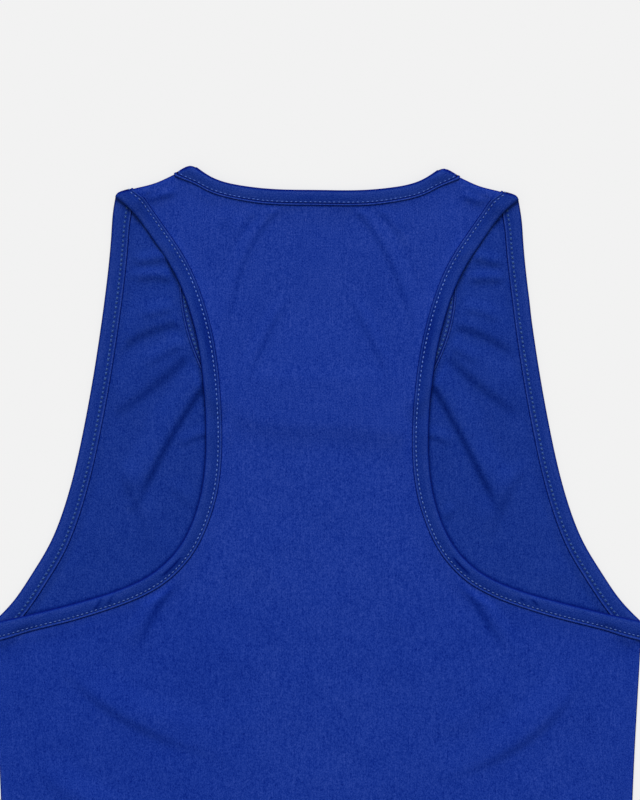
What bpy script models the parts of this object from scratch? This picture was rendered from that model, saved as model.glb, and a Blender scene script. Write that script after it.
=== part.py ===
"""Sleeveless boxing vest, laid flat on a table with its back up.

It has five cut pieces: a front panel face down on the table, a back panel over it, one binding
round the neck and one round each armhole. A binding is a folded strip, a U in section, with a
panel's raw edge inside it. It goes round as one closed ring, and turns over with the cloth at the
shoulder and at the underarm. The hem is turned up on each panel.

X runs to the right, Y towards the neck and Z up from the table. The origin is on the table, under
the middle of the vest. Tables and sizes are in millimetres, and the meshes are in metres.
"""

import math
from collections import namedtuple

import bmesh
import bpy
import numpy as np
from mathutils import Vector
from mathutils.geometry import delaunay_2d_cdt

MM = 0.001

# Cloth
WALL = 1.0  # one layer
GAP = 0.3  # between pieces that are sewn together or lie on each other
NECK_WIDTH = 12.0  # a binding's width, from its folded edge to its seam edge
ARMHOLE_WIDTH = 13.6
HEM_DEPTH = 20.0  # the turned hem
HEM_STEP = 1.0  # where the hem's raw edge ends

# Heights that follow from the wall and the gap
HALF = WALL / 2
SLOT = HALF + GAP  # from a panel's middle to the inside of its binding
SKIN = SLOT + WALL  # and to the binding's outer face
LIFT = SKIN - HALF  # how far a binding lifts the edge inside it
OVER_PANEL = WALL + GAP  # the back's underside where it lies on the front panel
OVER_BINDING = 2 * SKIN + GAP  # and where it lies on a front binding

# A binding's section
FOLD_WALL = 1.3  # the wall at the folded edge
CHAMFER = 0.9  # on the folded edge's two corners
EDGE_INSET = 2.2  # how far inside the folded edge the panel's raw edge lies

FOLD_HOLLOW = 0.45  # the least inner radius where a panel turns over


def binding_section(width):
    """How far each corner of a binding is from its folded edge, and its height from the middle
    of the panel inside it."""
    return (
        (0.0, -CHAMFER),
        (CHAMFER, -SKIN),
        (width, -SKIN),
        (width, -SLOT),
        (FOLD_WALL, -SLOT),
        (FOLD_WALL, SLOT),
        (width, SLOT),
        (width, SKIN),
        (CHAMFER, SKIN),
        (0.0, CHAMFER),
    )


# Outlines of the right half, as x and y. An opening's outline is the binding's folded edge. The
# shoulder and the side turn over about a line, their axis, which the outlines start and end on.
NECK_POINT = (96.5, 346.4)
SHOULDER_TIP = (158.2, 322.4)
UNDERARM = (257.9, -14.0)

BACK_NECK = (
    (0.0, 330.6),
    (34.0, 330.8),
    (60.0, 333.2),
    (84.0, 339.8),
    NECK_POINT,
)
FRONT_NECK = (
    (0.0, 150.0),
    (28.0, 151.5),
    (52.5, 158.0),
    (70.0, 173.0),
    (82.5, 193.3),
    (92.5, 216.0),
    (97.5, 240.0),
    (99.0, 270.0),
    (98.5, 310.0),
    NECK_POINT,
)
BACK_ARMHOLE = (
    SHOULDER_TIP,
    (149.6, 314.0),
    (134.0, 294.0),
    (115.6, 265.2),
    (104.0, 236.4),
    (96.4, 207.6),
    (91.6, 174.0),
    (89.4, 138.0),
    (91.0, 102.0),
    (97.4, 73.2),
    (110.0, 47.5),
    (131.6, 26.0),
    (160.0, 11.5),
    (191.2, 2.6),
    (226.0, -6.4),
    UNDERARM,
)
FRONT_ARMHOLE = (
    SHOULDER_TIP,
    (161.4, 312.0),
    (164.2, 290.0),
    (168.8, 242.8),
    (178.4, 178.8),
    (184.0, 146.8),
    (191.2, 114.8),
    (199.2, 82.8),
    (211.2, 50.8),
    (228.0, 23.5),
    (243.0, 2.5),
    UNDERARM,
)
SIDE = (  # the side's outer edge, from the underarm to the hem
    (260.35, -14.0),
    (258.6, -45.0),
    (255.0, -108.0),
    (251.2, -220.0),
    (252.5, -352.0),
)
HEM_Y = -350.0
HEM_RISE = 3.0  # how much higher the hem is at the sides

# How long a binding's section is where it turns over, for each unit of its width
NECK_TURN = 1.27
SHOULDER_TURN = 1.14
UNDERARM_TURN = 1.14
TURN_BLEND = 30.0  # over this length the sections swing from that fold to square
LEAST_SQUARE = 0.6  # the least part of a slanting section's width that is square to the edge
TURN_ANGLES = (30, 60, 90, 120, 150)  # where a binding has a section as it turns over

# Where a layer leaves one level for another: the start of the slope, and its length
PAST_BINDING = (NECK_WIDTH + 3.0, 20.0)  # the back comes down off the front neck binding
UP_STRAP = (165.0, 35.0)  # and rises to the shoulder's level, by y
NEAR_SHOULDER = (-44.0, 20.0)  # both lift off what is under them, by the distance to the fold
UNDERARM_LIFT = (215.0, 22.0)  # and here, by x
UNDERARM_BASE = (185.0, 22.0)  # the back rises to the front armhole binding, by x
UP_SIDE = (-60.0, 29.0)  # both of those only above here, by y
OFF_HEM = 12.0  # the slope above the hem

# Stations along each outline
BACK_NECK_SPANS = 14
FRONT_NECK_SPANS = 34
BACK_ARMHOLE_SPANS = 34
FRONT_ARMHOLE_SPANS = 25
SHOULDER_STATIONS = (0.3, 0.5, 0.7)
SIDE_STATIONS = (-31.0, -45.0, -60.0, -105.0, -150.0, -195.0, -240.0, -285.0, -312.0)
HEM_SPANS = 9
HEM_CORNER = 14.0  # from the side to the hem's first station
OUTLINE_STEPS = 200  # in an outline that distances are measured to

ROLL = (math.radians(90), math.radians(60), math.radians(30), 0.0)  # a fold's four rings
CORNER_INSETS = (EDGE_INSET, 5.0, 8.0, 11.0)
TURN_ROWS = (  # where each ring is as a bound edge turns over: degrees round, or mm before
    (0.0, -0.7, -1.2, -2.0),
    (30.0, 22.0, 12.0, -1.0),
    (60.0, 42.0, 22.0, -0.5),
    (90.0, 60.0, 30.0, 0.0),
)
HEM_INSETS = (0.0, 0.4, 1.2, 3.0)
HEM_HALVES = (0.5, 0.85, 1.0, 1.0)  # half the hem's thickness there, in walls
BOUND_EXTRA = (None, 1.0, 6.0, 11.0)  # past the seam edge
BOUND_FADE = (1.0, 1.0, 0.5, 0.0)  # how much of the binding's level a ring keeps

BODY_BLUE = (0.0123, 0.0395, 0.296)
BINDING_BLUE = (0.008, 0.0307, 0.231)
ROUGHNESS = 0.75

GRID = 36.0  # spacing of the points inside a panel
GRID_ACROSS = np.arange(-252.0, 253.0, GRID)
GRID_UP = np.arange(-310.0, 303.0, GRID)
CLEAR = 13.0  # and their least distance to any other point
NEAR_EDGE = 4.0  # the least distance of a placed point to the innermost ring
HEM_COLUMNS = np.linspace(-230.0, 230.0, 15)  # of points along the hem's step
NECK_COLUMNS = 40  # of points along the front neck binding

# Folds pressed into the cloth: from x, y to x, y, height and half width
FRONT_FOLDS = (
    (-150.0, 207.0, -117.0, 221.0, 1.2, 5.0),
    (-156.0, 156.0, -112.0, 190.0, 1.4, 6.0),
    (-134.0, 95.0, -108.0, 142.0, 1.6, 6.0),
    (-142.0, 262.0, -127.0, 262.0, 0.9, 4.0),
    (119.0, 217.0, 152.0, 203.0, 1.2, 5.0),
    (112.0, 188.0, 158.0, 154.0, 1.4, 6.0),
    (108.0, 145.0, 137.0, 92.0, 1.6, 6.0),
    (125.0, 261.0, 146.0, 260.0, 0.9, 4.0),
)
BACK_FOLDS = (
    (-138.0, -16.0, -153.0, -48.0, 1.4, 8.0),
    (136.0, -14.0, 152.0, -46.0, 1.4, 8.0),
    (-34.0, 292.0, -60.0, 212.0, 0.8, 9.0),
    (40.0, 290.0, 62.0, 210.0, 0.8, 9.0),
)

# A place on an outline. at: the point; into: the way into the panel; stretch: its length for each
# unit of width; out: the way a fold turns, or None; kind: bound for an edge in a binding, turn
# where it turns over, shoulder, side, foot for the side's lower end, or hem; width: the binding's.
Station = namedtuple("Station", "at into stretch out kind width")
Layer = namedtuple("Layer", "name sign neck armhole folds")

FRONT = Layer("front_panel", -1, FRONT_NECK, FRONT_ARMHOLE, FRONT_FOLDS)
BACK = Layer("back_panel", 1, BACK_NECK, BACK_ARMHOLE, BACK_FOLDS)


def vec(*numbers):
    return np.array(numbers, dtype=float)


def unit(v):
    return v / np.linalg.norm(v)


def ease(t):
    """0 below 0, 1 above 1, and a smooth step between."""
    t = np.clip(t, 0.0, 1.0)
    return t * t * (3.0 - 2.0 * t)


def slope(value, row):
    """0 before the start of a slope, and 1 past its end."""
    start, length = row
    return ease((value - start) / length)


def spline(points, spans):
    """Points spaced evenly along the smooth curve through these, and the curve's directions."""
    p = np.array(points, dtype=float)
    t = np.concatenate([[0.0], np.cumsum(np.linalg.norm(np.diff(p, axis=0), axis=1))])
    h = np.diff(t)
    n = len(p)
    system = np.eye(n)
    right = np.zeros((n, 2))
    for i in range(1, n - 1):
        system[i, i - 1 : i + 2] = h[i - 1], 2.0 * (h[i - 1] + h[i]), h[i]
        right[i] = 6.0 * ((p[i + 1] - p[i]) / h[i] - (p[i] - p[i - 1]) / h[i - 1])
    bend = np.linalg.solve(system, right)

    def at(s):
        i = np.clip(np.searchsorted(t, s) - 1, 0, n - 2)
        a = ((t[i + 1] - s) / h[i])[:, None]
        b = 1.0 - a
        k = (h[i] ** 2 / 6.0)[:, None]
        return a * p[i] + b * p[i + 1] + k * ((a**3 - a) * bend[i] + (b**3 - b) * bend[i + 1])

    fine = np.linspace(0.0, t[-1], 2001)
    dense = at(fine)
    run = np.concatenate([[0.0], np.cumsum(np.linalg.norm(np.diff(dense, axis=0), axis=1))])
    s = np.interp(np.linspace(0.0, run[-1], spans + 1), run, fine)
    step = t[-1] * 1e-4
    ways = at(np.clip(s + step, 0, t[-1])) - at(np.clip(s - step, 0, t[-1]))
    return at(s), ways / np.linalg.norm(ways, axis=1)[:, None]


def mirrored(points):
    """A half outline that starts at x = 0, and its mirror image, as one from -x to +x."""
    return tuple((-x, y) for x, y in reversed(points[1:])) + tuple(points)


SHOULDER_WAY = unit(vec(*SHOULDER_TIP) - vec(*NECK_POINT))  # along the fold, to the tip
SHOULDER_OUT = vec(-SHOULDER_WAY[1], SHOULDER_WAY[0])  # across it, out of the cloth
SIDE_WAY = unit(vec(*SIDE[1]) - vec(*SIDE[0]))  # down the side, from the underarm
SIDE_OUT = vec(-SIDE_WAY[1], SIDE_WAY[0])


def edge_stations(points, spans, width, side, turns):
    """Stations along a bound edge. side: +1 if the panel is to the left of the curve, -1 if to
    the right. turns: for each end the way and the stretch of the section that turns over."""
    places, ways = spline(points, spans)
    length = np.linalg.norm(np.diff(places, axis=0), axis=1).sum()
    made = []
    for i, (place, way) in enumerate(zip(places, ways)):
        square = side * vec(-way[1], way[0])
        run = length * i / spans
        into, stretch = square, 1.0
        for from_end, turn in ((run, turns[0]), (length - run, turns[1])):
            share = 1.0 - ease(from_end / TURN_BLEND)
            if turn and share > 0.0:
                fold_into, out, fold_stretch = turn
                into = unit(share * fold_into + (1.0 - share) * square)
                stretch = share * fold_stretch + (1.0 - share) / max(LEAST_SQUARE, into @ square)
        made.append(Station(place, into, stretch, None, "bound", width))
    for i, turn in ((0, turns[0]), (-1, turns[1])):
        if turn:
            made[i] = made[i]._replace(into=turn[0], stretch=turn[2], out=turn[1], kind="turn")
    return made


def neck_stations(layer, spans):
    """The neck's stations, from the left shoulder to the right one."""
    right = (SHOULDER_WAY, SHOULDER_OUT, NECK_TURN)
    left = tuple(v * (-1, 1) for v in right[:2]) + (NECK_TURN,)
    return edge_stations(mirrored(layer.neck), spans, NECK_WIDTH, -1, (left, right))


def armhole_stations(layer, spans):
    """The right armhole's stations, from the shoulder to the underarm."""
    shoulder = (-SHOULDER_WAY, SHOULDER_OUT, SHOULDER_TURN)
    underarm = (SIDE_WAY, SIDE_OUT, UNDERARM_TURN)
    return edge_stations(layer.armhole, spans, ARMHOLE_WIDTH, -1, (shoulder, underarm))


SIDE_LINE = spline(SIDE, OUTLINE_STEPS)[0]
NECK_LINE = spline(mirrored(FRONT_NECK), OUTLINE_STEPS)[0]  # the back lies over this


def side_x(y):
    return float(np.interp(-y, -SIDE_LINE[:, 1], SIDE_LINE[:, 0]))


def hem_y(x):
    return HEM_Y + HEM_RISE * (x / side_x(HEM_Y)) ** 2


def past_neck(x, y):
    """How far a point is past the front neck's folded edge, less than 0 inside the opening."""
    gaps = np.linalg.norm(NECK_LINE - vec(x, y), axis=1)
    near = int(np.argmin(gaps))
    low, high = NECK_LINE[max(near - 1, 0)], NECK_LINE[min(near + 1, len(NECK_LINE) - 1)]
    way, off = high - low, vec(x, y) - NECK_LINE[near]
    inside = way[0] * off[1] - way[1] * off[0] > 0.0
    return -gaps[near] if inside else gaps[near]


def at_shoulder(x, y):
    """1 near the shoulder fold, and 0 further down the strap."""
    return slope(SHOULDER_OUT @ (vec(abs(x), y) - vec(*SHOULDER_TIP)), NEAR_SHOULDER)


def at_underarm(x, y, row):
    """1 near the underarm, and 0 away from it."""
    return slope(abs(x), row) * slope(y, UP_SIDE)


def back_base(x, y):
    """The height of what the back layer lies on, with the gap: the front bindings and what they
    span, or the front panel."""
    raised = max(
        1.0 - slope(past_neck(x, y), PAST_BINDING),
        slope(y, UP_STRAP),
        at_underarm(x, y, UNDERARM_BASE),
    )
    return OVER_PANEL + (OVER_BINDING - OVER_PANEL) * raised


def over_hem(x, y):
    """1 on the hem, and 0 above it."""
    return 1.0 - slope(y - hem_y(x), (HEM_DEPTH + HEM_STEP, OFF_HEM))


def half_wall(x, y):
    """Half the wall's thickness, which is double in the hem."""
    return 2.0 * HALF if y - hem_y(x) < HEM_DEPTH - HEM_STEP / 2 else HALF


def fold_height(layer, x, y):
    """How far the pressed folds lift the cloth here."""
    height = 0.0
    for x0, y0, x1, y1, top, half_width in layer.folds:
        start, run = vec(x0, y0), vec(x1 - x0, y1 - y0)
        along = np.clip((vec(x, y) - start) @ run / (run @ run), 0.0, 1.0)
        off = np.linalg.norm(vec(x, y) - start - along * run)
        height = max(height, top * math.sin(math.pi * along) * (1.0 - ease(off / half_width)))
    return height


def middle_height(layer, x, y):
    """The height of the middle of a panel's wall, away from its bound edges."""
    half = half_wall(x, y)
    lift = LIFT * max(at_shoulder(x, y), at_underarm(x, y, UNDERARM_LIFT))
    if layer is FRONT:
        return half + lift + fold_height(layer, x, y)
    hem = over_hem(x, y)
    on_hem = 2.0 * WALL + GAP + 2.0 * WALL - half  # keeps the outer face smooth over the step
    return (1.0 - hem) * (back_base(x, y) + HALF + lift) + hem * on_hem + fold_height(layer, x, y)


def bound_levels(layer, stations):
    """The height of the middle of the wall inside the binding, at each station."""
    if layer is FRONT:
        return [SKIN] * len(stations)
    found = []
    for s in stations:
        if s.kind == "turn":
            found.append(OVER_BINDING)
            continue
        across = [s.at + s.into * s.stretch * s.width * part for part in (0.0, 0.5, 1.0)]
        found.append(max(back_base(*place) for place in across))
    spread = [max(found[max(i - 1, 0) : i + 2]) for i in range(len(found))]
    return [base + SKIN for base in spread]


def fold_shape(x, y):
    """A side or shoulder fold's radius to the middle of the wall, and its axis's height."""
    low, high = middle_height(FRONT, x, y), middle_height(BACK, x, y)
    radius = max((high - low) / 2.0, half_wall(x, y) + FOLD_HOLLOW)
    return radius, low + radius


def on_fold(at, out, radius, height, angle, sign, half):
    """The outer and the inner point of a wall at an angle round a fold's axis. At 90 degrees it
    ends half a gap short, so that the two panels meet face to face."""
    found = []
    for r in (radius + half, radius - half):
        if angle == ROLL[0]:
            rise = GAP / 2.0
            reach = math.sqrt(max(r * r - rise * rise, 0.0))
        else:
            rise, reach = r * math.cos(angle), r * math.sin(angle)
        found.append((*(at + out * reach), height + sign * rise))
    return found


def flat_pair(place, middle, half, sign):
    return [(*place, middle + sign * half), (*place, middle - sign * half)]


def ring_pair(layer, station, level, ring):
    """The outer and the inner point of a panel at one station of one of its four rings. level is
    a bound edge's height, or a row of TURN_ROWS."""
    s = station
    if s.kind == "bound":
        inset = EDGE_INSET if ring == 0 else s.width + BOUND_EXTRA[ring]
        place = s.at + s.into * s.stretch * inset
        fade = BOUND_FADE[ring]
        free = middle_height(layer, *place) if fade < 1.0 else 0.0
        return flat_pair(place, fade * level + (1.0 - fade) * free, HALF, layer.sign)
    if s.kind == "turn":
        place = s.at + s.into * s.stretch * CORNER_INSETS[ring] + s.out * min(level[ring], 0.0)
        radius, height = OVER_BINDING / 2.0, SKIN + OVER_BINDING / 2.0
        angle = math.radians(max(level[ring], 0.0))
        return on_fold(place, s.out, radius, height, angle, layer.sign, HALF)
    if s.kind == "hem":
        place = s.at + s.into * HEM_INSETS[ring]
        half = WALL * HEM_HALVES[ring]
        return flat_pair(place, middle_height(layer, *place), half, layer.sign)
    place = s.at + s.into * (HEM_INSETS[ring] if s.kind == "foot" else 0.0)
    half = half_wall(*place)
    radius, height = fold_shape(*place)
    if s.kind == "foot":
        half = min(WALL * HEM_HALVES[ring], radius - GAP / 2.0)
    axis = place if s.kind == "shoulder" else place - s.out * (radius + half)
    return on_fold(axis, s.out, radius, height, ROLL[ring], layer.sign, half)


def with_turns(stations, levels):
    """Each station with its level, and a station at a fold once for each of TURN_ROWS."""
    made = []
    for i, (s, level) in enumerate(zip(stations, levels)):
        if s.kind == "turn":
            rows = TURN_ROWS if i else TURN_ROWS[::-1]
            made += [(s, row) for row in rows]
        else:
            made.append((s, level))
    return made


def half_outline(layer):
    """The right half's stations, from the middle of the neck to the middle of the hem."""
    neck_spans = BACK_NECK_SPANS if layer is BACK else FRONT_NECK_SPANS
    hole_spans = BACK_ARMHOLE_SPANS if layer is BACK else FRONT_ARMHOLE_SPANS
    neck = neck_stations(layer, neck_spans)
    hole = armhole_stations(layer, hole_spans)
    made = with_turns(neck[neck_spans // 2 :], bound_levels(layer, neck)[neck_spans // 2 :])
    start, end = vec(*NECK_POINT), vec(*SHOULDER_TIP)
    for share in SHOULDER_STATIONS:
        place = start + share * (end - start)
        made.append((Station(place, -SHOULDER_OUT, 1.0, SHOULDER_OUT, "shoulder", 0.0), 0.0))
    made += with_turns(hole, bound_levels(layer, hole))
    hem_side = hem_y(side_x(HEM_Y))
    step = hem_side + HEM_DEPTH
    for y in SIDE_STATIONS + (step, step - HEM_STEP):
        made.append((Station(vec(side_x(y), y), SIDE_WAY, 1.0, SIDE_OUT, "side", 0.0), 0.0))
    corner = vec(side_x(hem_side), hem_side)
    made.append((Station(corner, vec(0.0, 1.0), 1.0, SIDE_OUT, "foot", 0.0), 0.0))
    for i in range(1, HEM_SPANS + 1):
        x = (side_x(HEM_Y) - HEM_CORNER) * (1.0 - (i - 1) / (HEM_SPANS - 1))
        made.append((Station(vec(x, hem_y(x)), vec(0.0, 1.0), 1.0, None, "hem", 0.0), 0.0))
    return made


def flipped(pair):
    """A station's mirror image, on the left half."""
    station, level = pair
    out = station.out if station.out is None else station.out * (-1, 1)
    return station._replace(at=station.at * (-1, 1), into=station.into * (-1, 1), out=out), level


def inner_points(layer, ring):
    """Points inside a panel: on the lines that its heights turn at, along its folds, and on a
    grid wherever those leave room."""
    placed = []
    for x in HEM_COLUMNS:
        for above in (-HEM_STEP, 0.0, HEM_STEP + OFF_HEM):
            placed.append((x, hem_y(x) + HEM_DEPTH + above))
    if layer is BACK:
        for place, way in zip(*spline(mirrored(FRONT_NECK), NECK_COLUMNS)):
            away = vec(way[1], -way[0])
            for past in (PAST_BINDING[0], sum(PAST_BINDING)):
                placed.append(tuple(place + away * past))
    for x0, y0, x1, y1, _, half_width in layer.folds:
        start, run = vec(x0, y0), vec(x1 - x0, y1 - y0)
        aside = unit(vec(-run[1], run[0])) * half_width
        for along in (0.0, 0.25, 0.5, 0.75, 1.0):
            placed.append(tuple(start + along * run))
            if 0.0 < along < 1.0:
                placed += [tuple(start + along * run + aside), tuple(start + along * run - aside)]
    placed = [p for p in placed if inside(p, ring, NEAR_EDGE)]
    chosen = np.array(placed)
    grid = []
    for x in GRID_ACROSS:
        for y in GRID_UP:
            room = np.linalg.norm(chosen - vec(x, y), axis=1).min()
            if room > CLEAR and inside((x, y), ring, CLEAR):
                grid.append((x, y))
    return placed + grid


def inside(point, ring, clear):
    """True if a point is inside a closed ring, and at least this far from its corners."""
    x, y = point
    a = np.array(ring)
    b = np.roll(a, -1, axis=0)
    if np.linalg.norm(a - vec(x, y), axis=1).min() < clear:
        return False
    spans = (a[:, 1] > y) != (b[:, 1] > y)
    rise = np.where(b[:, 1] == a[:, 1], 1.0, b[:, 1] - a[:, 1])
    cross = a[:, 0] + (y - a[:, 1]) * (b[:, 0] - a[:, 0]) / rise
    return int((spans & (x < cross)).sum()) % 2 == 1


def new_object(name, points, faces, material):
    """One closed piece, from points in millimetres."""
    mesh = bpy.data.meshes.new(name)
    mesh.from_pydata([Vector(p) * MM for p in points], [], faces)
    work = bmesh.new()
    work.from_mesh(mesh)
    bmesh.ops.recalc_face_normals(work, faces=work.faces)
    work.to_mesh(mesh)
    work.free()
    mesh.shade_smooth()
    mesh.set_sharp_from_angle(angle=math.radians(40))
    mesh.materials.append(material)
    piece = bpy.data.objects.new(name, mesh)
    bpy.context.collection.objects.link(piece)
    return piece


def make_panel(layer, material):
    """A panel: four rings round its outline, a triangulated middle, and the same on its inner
    side, joined round the edge."""
    half = half_outline(layer)
    loop = half + [flipped(pair) for pair in reversed(half[1:-1])]
    count = len(loop)
    rings = [[ring_pair(layer, s, level, k) for s, level in loop] for k in range(len(ROLL))]
    last = [pair[0][:2] for pair in rings[-1]]
    middle = inner_points(layer, last)
    flat = [Vector(p) for p in last + middle]
    found = delaunay_2d_cdt(flat, [], [list(reversed(range(count)))], 1, 1e-6)
    assert len(found[0]) == len(flat), "the outline crosses itself"
    order = [ids[0] for ids in found[3]]  # which of the points each new one is
    triangles = [[order[i] for i in face] for face in found[2]]

    outer, inner = [], []
    for ring in rings:
        outer += [pair[0] for pair in ring]
        inner += [pair[1] for pair in ring]
    for x, y in middle:
        pair = flat_pair((x, y), middle_height(layer, x, y), half_wall(x, y), layer.sign)
        outer.append(pair[0])
        inner.append(pair[1])
    size = len(outer)
    base = (len(rings) - 1) * count  # where the innermost ring's points start
    skin = [[base + i for i in face] for face in triangles]
    for k in range(len(rings) - 1):
        for i in range(count):
            a, b = k * count + i, k * count + (i + 1) % count
            skin += [[a, b, b + count], [a, b + count, a + count]]
    faces = skin + [[i + size for i in reversed(face)] for face in skin]
    for i in range(count):
        a, b = i, (i + 1) % count
        faces += [[b, a, a + size], [b, a + size, b + size]]
    return new_object(layer.name, outer + inner, faces, material)


def flat_section(station, level, sign):
    """A binding's section on a flat layer, at one station."""
    made = []
    for across, rise in binding_section(station.width):
        place = station.at + station.into * station.stretch * across
        made.append((*place, level + sign * rise))
    return made


def turn_sections(station, angles):
    """A binding's sections as it turns over at a fold."""
    made = []
    for angle in angles:
        section = []
        for across, rise in binding_section(station.width):
            place = station.at + station.into * station.stretch * across
            r = OVER_BINDING / 2.0 + rise
            place = place + station.out * r * math.sin(angle)
            section.append((*place, SKIN + OVER_BINDING / 2.0 + r * math.cos(angle)))
        made.append(section)
    return made


def make_binding(name, back, front, material, mirror=False):
    """A binding's closed ring: along the back, over the fold, and along the front to the fold
    that it started at."""
    over = [math.radians(a) for a in TURN_ANGLES]
    sections = [flat_section(s, z, 1) for s, z in zip(back, bound_levels(BACK, back))]
    sections += turn_sections(back[-1], over)
    low = list(zip(front, bound_levels(FRONT, front)))
    sections += [flat_section(s, z, -1) for s, z in reversed(low)]
    sections += turn_sections(back[0], reversed(over))
    if mirror:
        sections = [[(-x, y, z) for x, y, z in section] for section in sections]
    corners = len(sections[0])
    points = [p for section in sections for p in section]
    faces = []
    for i in range(len(sections)):
        for j in range(corners):
            a, b = i * corners + j, i * corners + (j + 1) % corners
            c, d = (a + corners) % len(points), (b + corners) % len(points)
            faces += [[a, b, d], [a, d, c]]
    return new_object(name, points, faces, material)


def cloth(name, colour):
    """A matt polyester knit."""
    material = bpy.data.materials.new(name)
    material.use_nodes = True
    shader = material.node_tree.nodes["Principled BSDF"]
    shader.inputs["Base Color"].default_value = (*colour, 1.0)
    shader.inputs["Roughness"].default_value = ROUGHNESS
    shader.inputs["Metallic"].default_value = 0.0
    return material


def main():
    for old in list(bpy.data.objects):
        bpy.data.objects.remove(old)
    body = cloth("body_knit", BODY_BLUE)
    strip = cloth("binding_knit", BINDING_BLUE)
    make_panel(FRONT, body)
    make_panel(BACK, body)
    make_binding(
        "neck_binding",
        neck_stations(BACK, BACK_NECK_SPANS),
        neck_stations(FRONT, FRONT_NECK_SPANS),
        strip,
    )
    for name, mirror in (("left_armhole_binding", True), ("right_armhole_binding", False)):
        make_binding(
            name,
            armhole_stations(BACK, BACK_ARMHOLE_SPANS),
            armhole_stations(FRONT, FRONT_ARMHOLE_SPANS),
            strip,
            mirror,
        )


main()
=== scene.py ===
"""The visual model of a sleeveless boxing vest, laid flat on a table with its back up.

The front panel lies face down, the back panel lies over it, and a folded binding goes round the
neck and round each armhole. X runs to the right, Y towards the neck and Z up from the table.
Tables and working sizes are in millimetres, and finished meshes are in metres.
"""

import math
from collections import namedtuple
from functools import lru_cache

import bpy
import numpy as np
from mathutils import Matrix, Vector
from mathutils.geometry import delaunay_2d_cdt
from mathutils.kdtree import KDTree


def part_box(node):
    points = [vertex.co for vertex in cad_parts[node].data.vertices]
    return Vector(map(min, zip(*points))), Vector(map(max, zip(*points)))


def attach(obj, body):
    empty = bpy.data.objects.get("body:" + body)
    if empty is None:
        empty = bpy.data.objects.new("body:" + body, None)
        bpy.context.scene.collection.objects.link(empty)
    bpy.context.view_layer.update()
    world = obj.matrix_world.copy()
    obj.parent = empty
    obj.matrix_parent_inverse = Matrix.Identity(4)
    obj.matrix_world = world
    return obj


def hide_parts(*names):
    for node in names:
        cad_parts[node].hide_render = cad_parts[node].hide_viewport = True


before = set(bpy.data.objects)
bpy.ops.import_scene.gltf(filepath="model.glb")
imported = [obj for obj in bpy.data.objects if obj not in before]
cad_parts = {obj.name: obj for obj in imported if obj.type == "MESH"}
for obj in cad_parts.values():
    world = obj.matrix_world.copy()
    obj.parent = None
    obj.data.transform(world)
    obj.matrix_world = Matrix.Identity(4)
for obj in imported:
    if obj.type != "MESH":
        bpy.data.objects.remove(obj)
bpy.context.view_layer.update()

bl_info = {
    "name": "Boxing vest",
    "version": (1, 0, 0),
    "blender": (4, 5, 0),
    "location": "View3D > Sidebar > Vest",
    "description": "Makes a sleeveless boxing vest laid flat, with bound neck and armholes",
    "category": "Add Mesh",
}

MM = 0.001
SIGN = {"front": -1, "back": 1}  # which way along Z a panel's outer face looks

# Bindings
NECK_WIDTH = 12.5  # from the folded edge to the seam edge
NECK_TAPER = 0.93  # how much narrower the neck's binding is towards its ends
ARMHOLE_WIDTH = 13.6
BACK_NARROW = 0.04  # how much narrower the back armhole's binding is between its ends
CURVE_NARROW = 0.05  # and how much more so round the lower curve
SKIN = 1.3  # from the middle of the panel inside to the binding's outer face
SLOT = 0.4  # and to its inner face
GAP = 0.1  # between layers that lie on each other
FOLD_LEVEL = 3 * SKIN + GAP  # the back's middle where it lies on a front binding
FOLD_RADIUS = (FOLD_LEVEL - SKIN) / 2
PUFF = {"neck": 0.7, "armhole": 0.1}  # how much fuller a binding is where it turns over
PRESS = 0.3  # how much of its thickness it loses where it is pressed flatter
EDGE_LIFT = 0.9  # how far a back armhole's folded edge stands off the cloth under it
ROUND = {"neck": (2.5, 5), "armhole": (1.8, 4.5)}  # where a binding turns over, its folded edge
# draws in by the first number, and by less up to the second number away from the edge
PROUD = 0.17  # how far the bindings and their stitches hold the front panel off the table

# How dark a binding is painted, as painted shade: towards its stitches, in the groove beside them,
# on the ridge between the groove and the seam, at the seam, and across its folded edge. Less than 0
# is lighter, a painted highlight.
BODY = {"neck": -0.5, "armhole": 1}
GROOVE = {"neck": 1.1, "armhole": 0.3}
RIDGE = {"neck": -0.55, "armhole": -0.45}
SEAM_TONE = {"neck": 0.5, "armhole": 1.45}
NOSE = {"neck": (0.6, 1, 1.45, 1.4, 0.6), "armhole": (1.1, 1.3, 1.3, 0.7, 0)}
SEAM_DEEPER = 0.3  # painted shade: how much darker the seam is near the shoulder
HOLLOW = {"neck": 0.32, "armhole": 0.5}  # and painted shade in the neck's middle, and high on an armhole
NECK_WORN = 0.07  # how much lighter the neck's binding is all round
PRESSED_NOSE_SHADE_CUT = 2  # painted shade taken off a folded edge where it is pressed flatter
SHOULDER_NOSE_SHADE_CUT = 0.95  # or where it comes up to the shoulder
FOLD_PAINTED_SHADE = 1.4  # painted shade: how much darker the cloth is painted where it turns over

# Stitches: the length, width and thickness of the thread that shows, and how far it stands off
TOP_STITCH = (2.15, 0.84, 0.55)
UNDER_STITCH = (2.7, 0.85, 0.5)
STITCH_INSET = {"neck": 2.8, "armhole": 3}  # from the seam edge to the row of stitches
STITCH_CORNER = 11  # the corner of a binding's section that they lie on
LOOPER_CORNER = -10  # and the one that their inner side lies on
STITCH_LIFT = 0.2
SUNK_LIFT = -0.05
LOOPER_LIFT = 0.1
LOOPER_SLANT = 0.6
THREAD_PAINTED_SHADE = (0.5, 0.25, 0.35)  # painted shade on the thread near the shoulder, lower down and at the bottom
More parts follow.
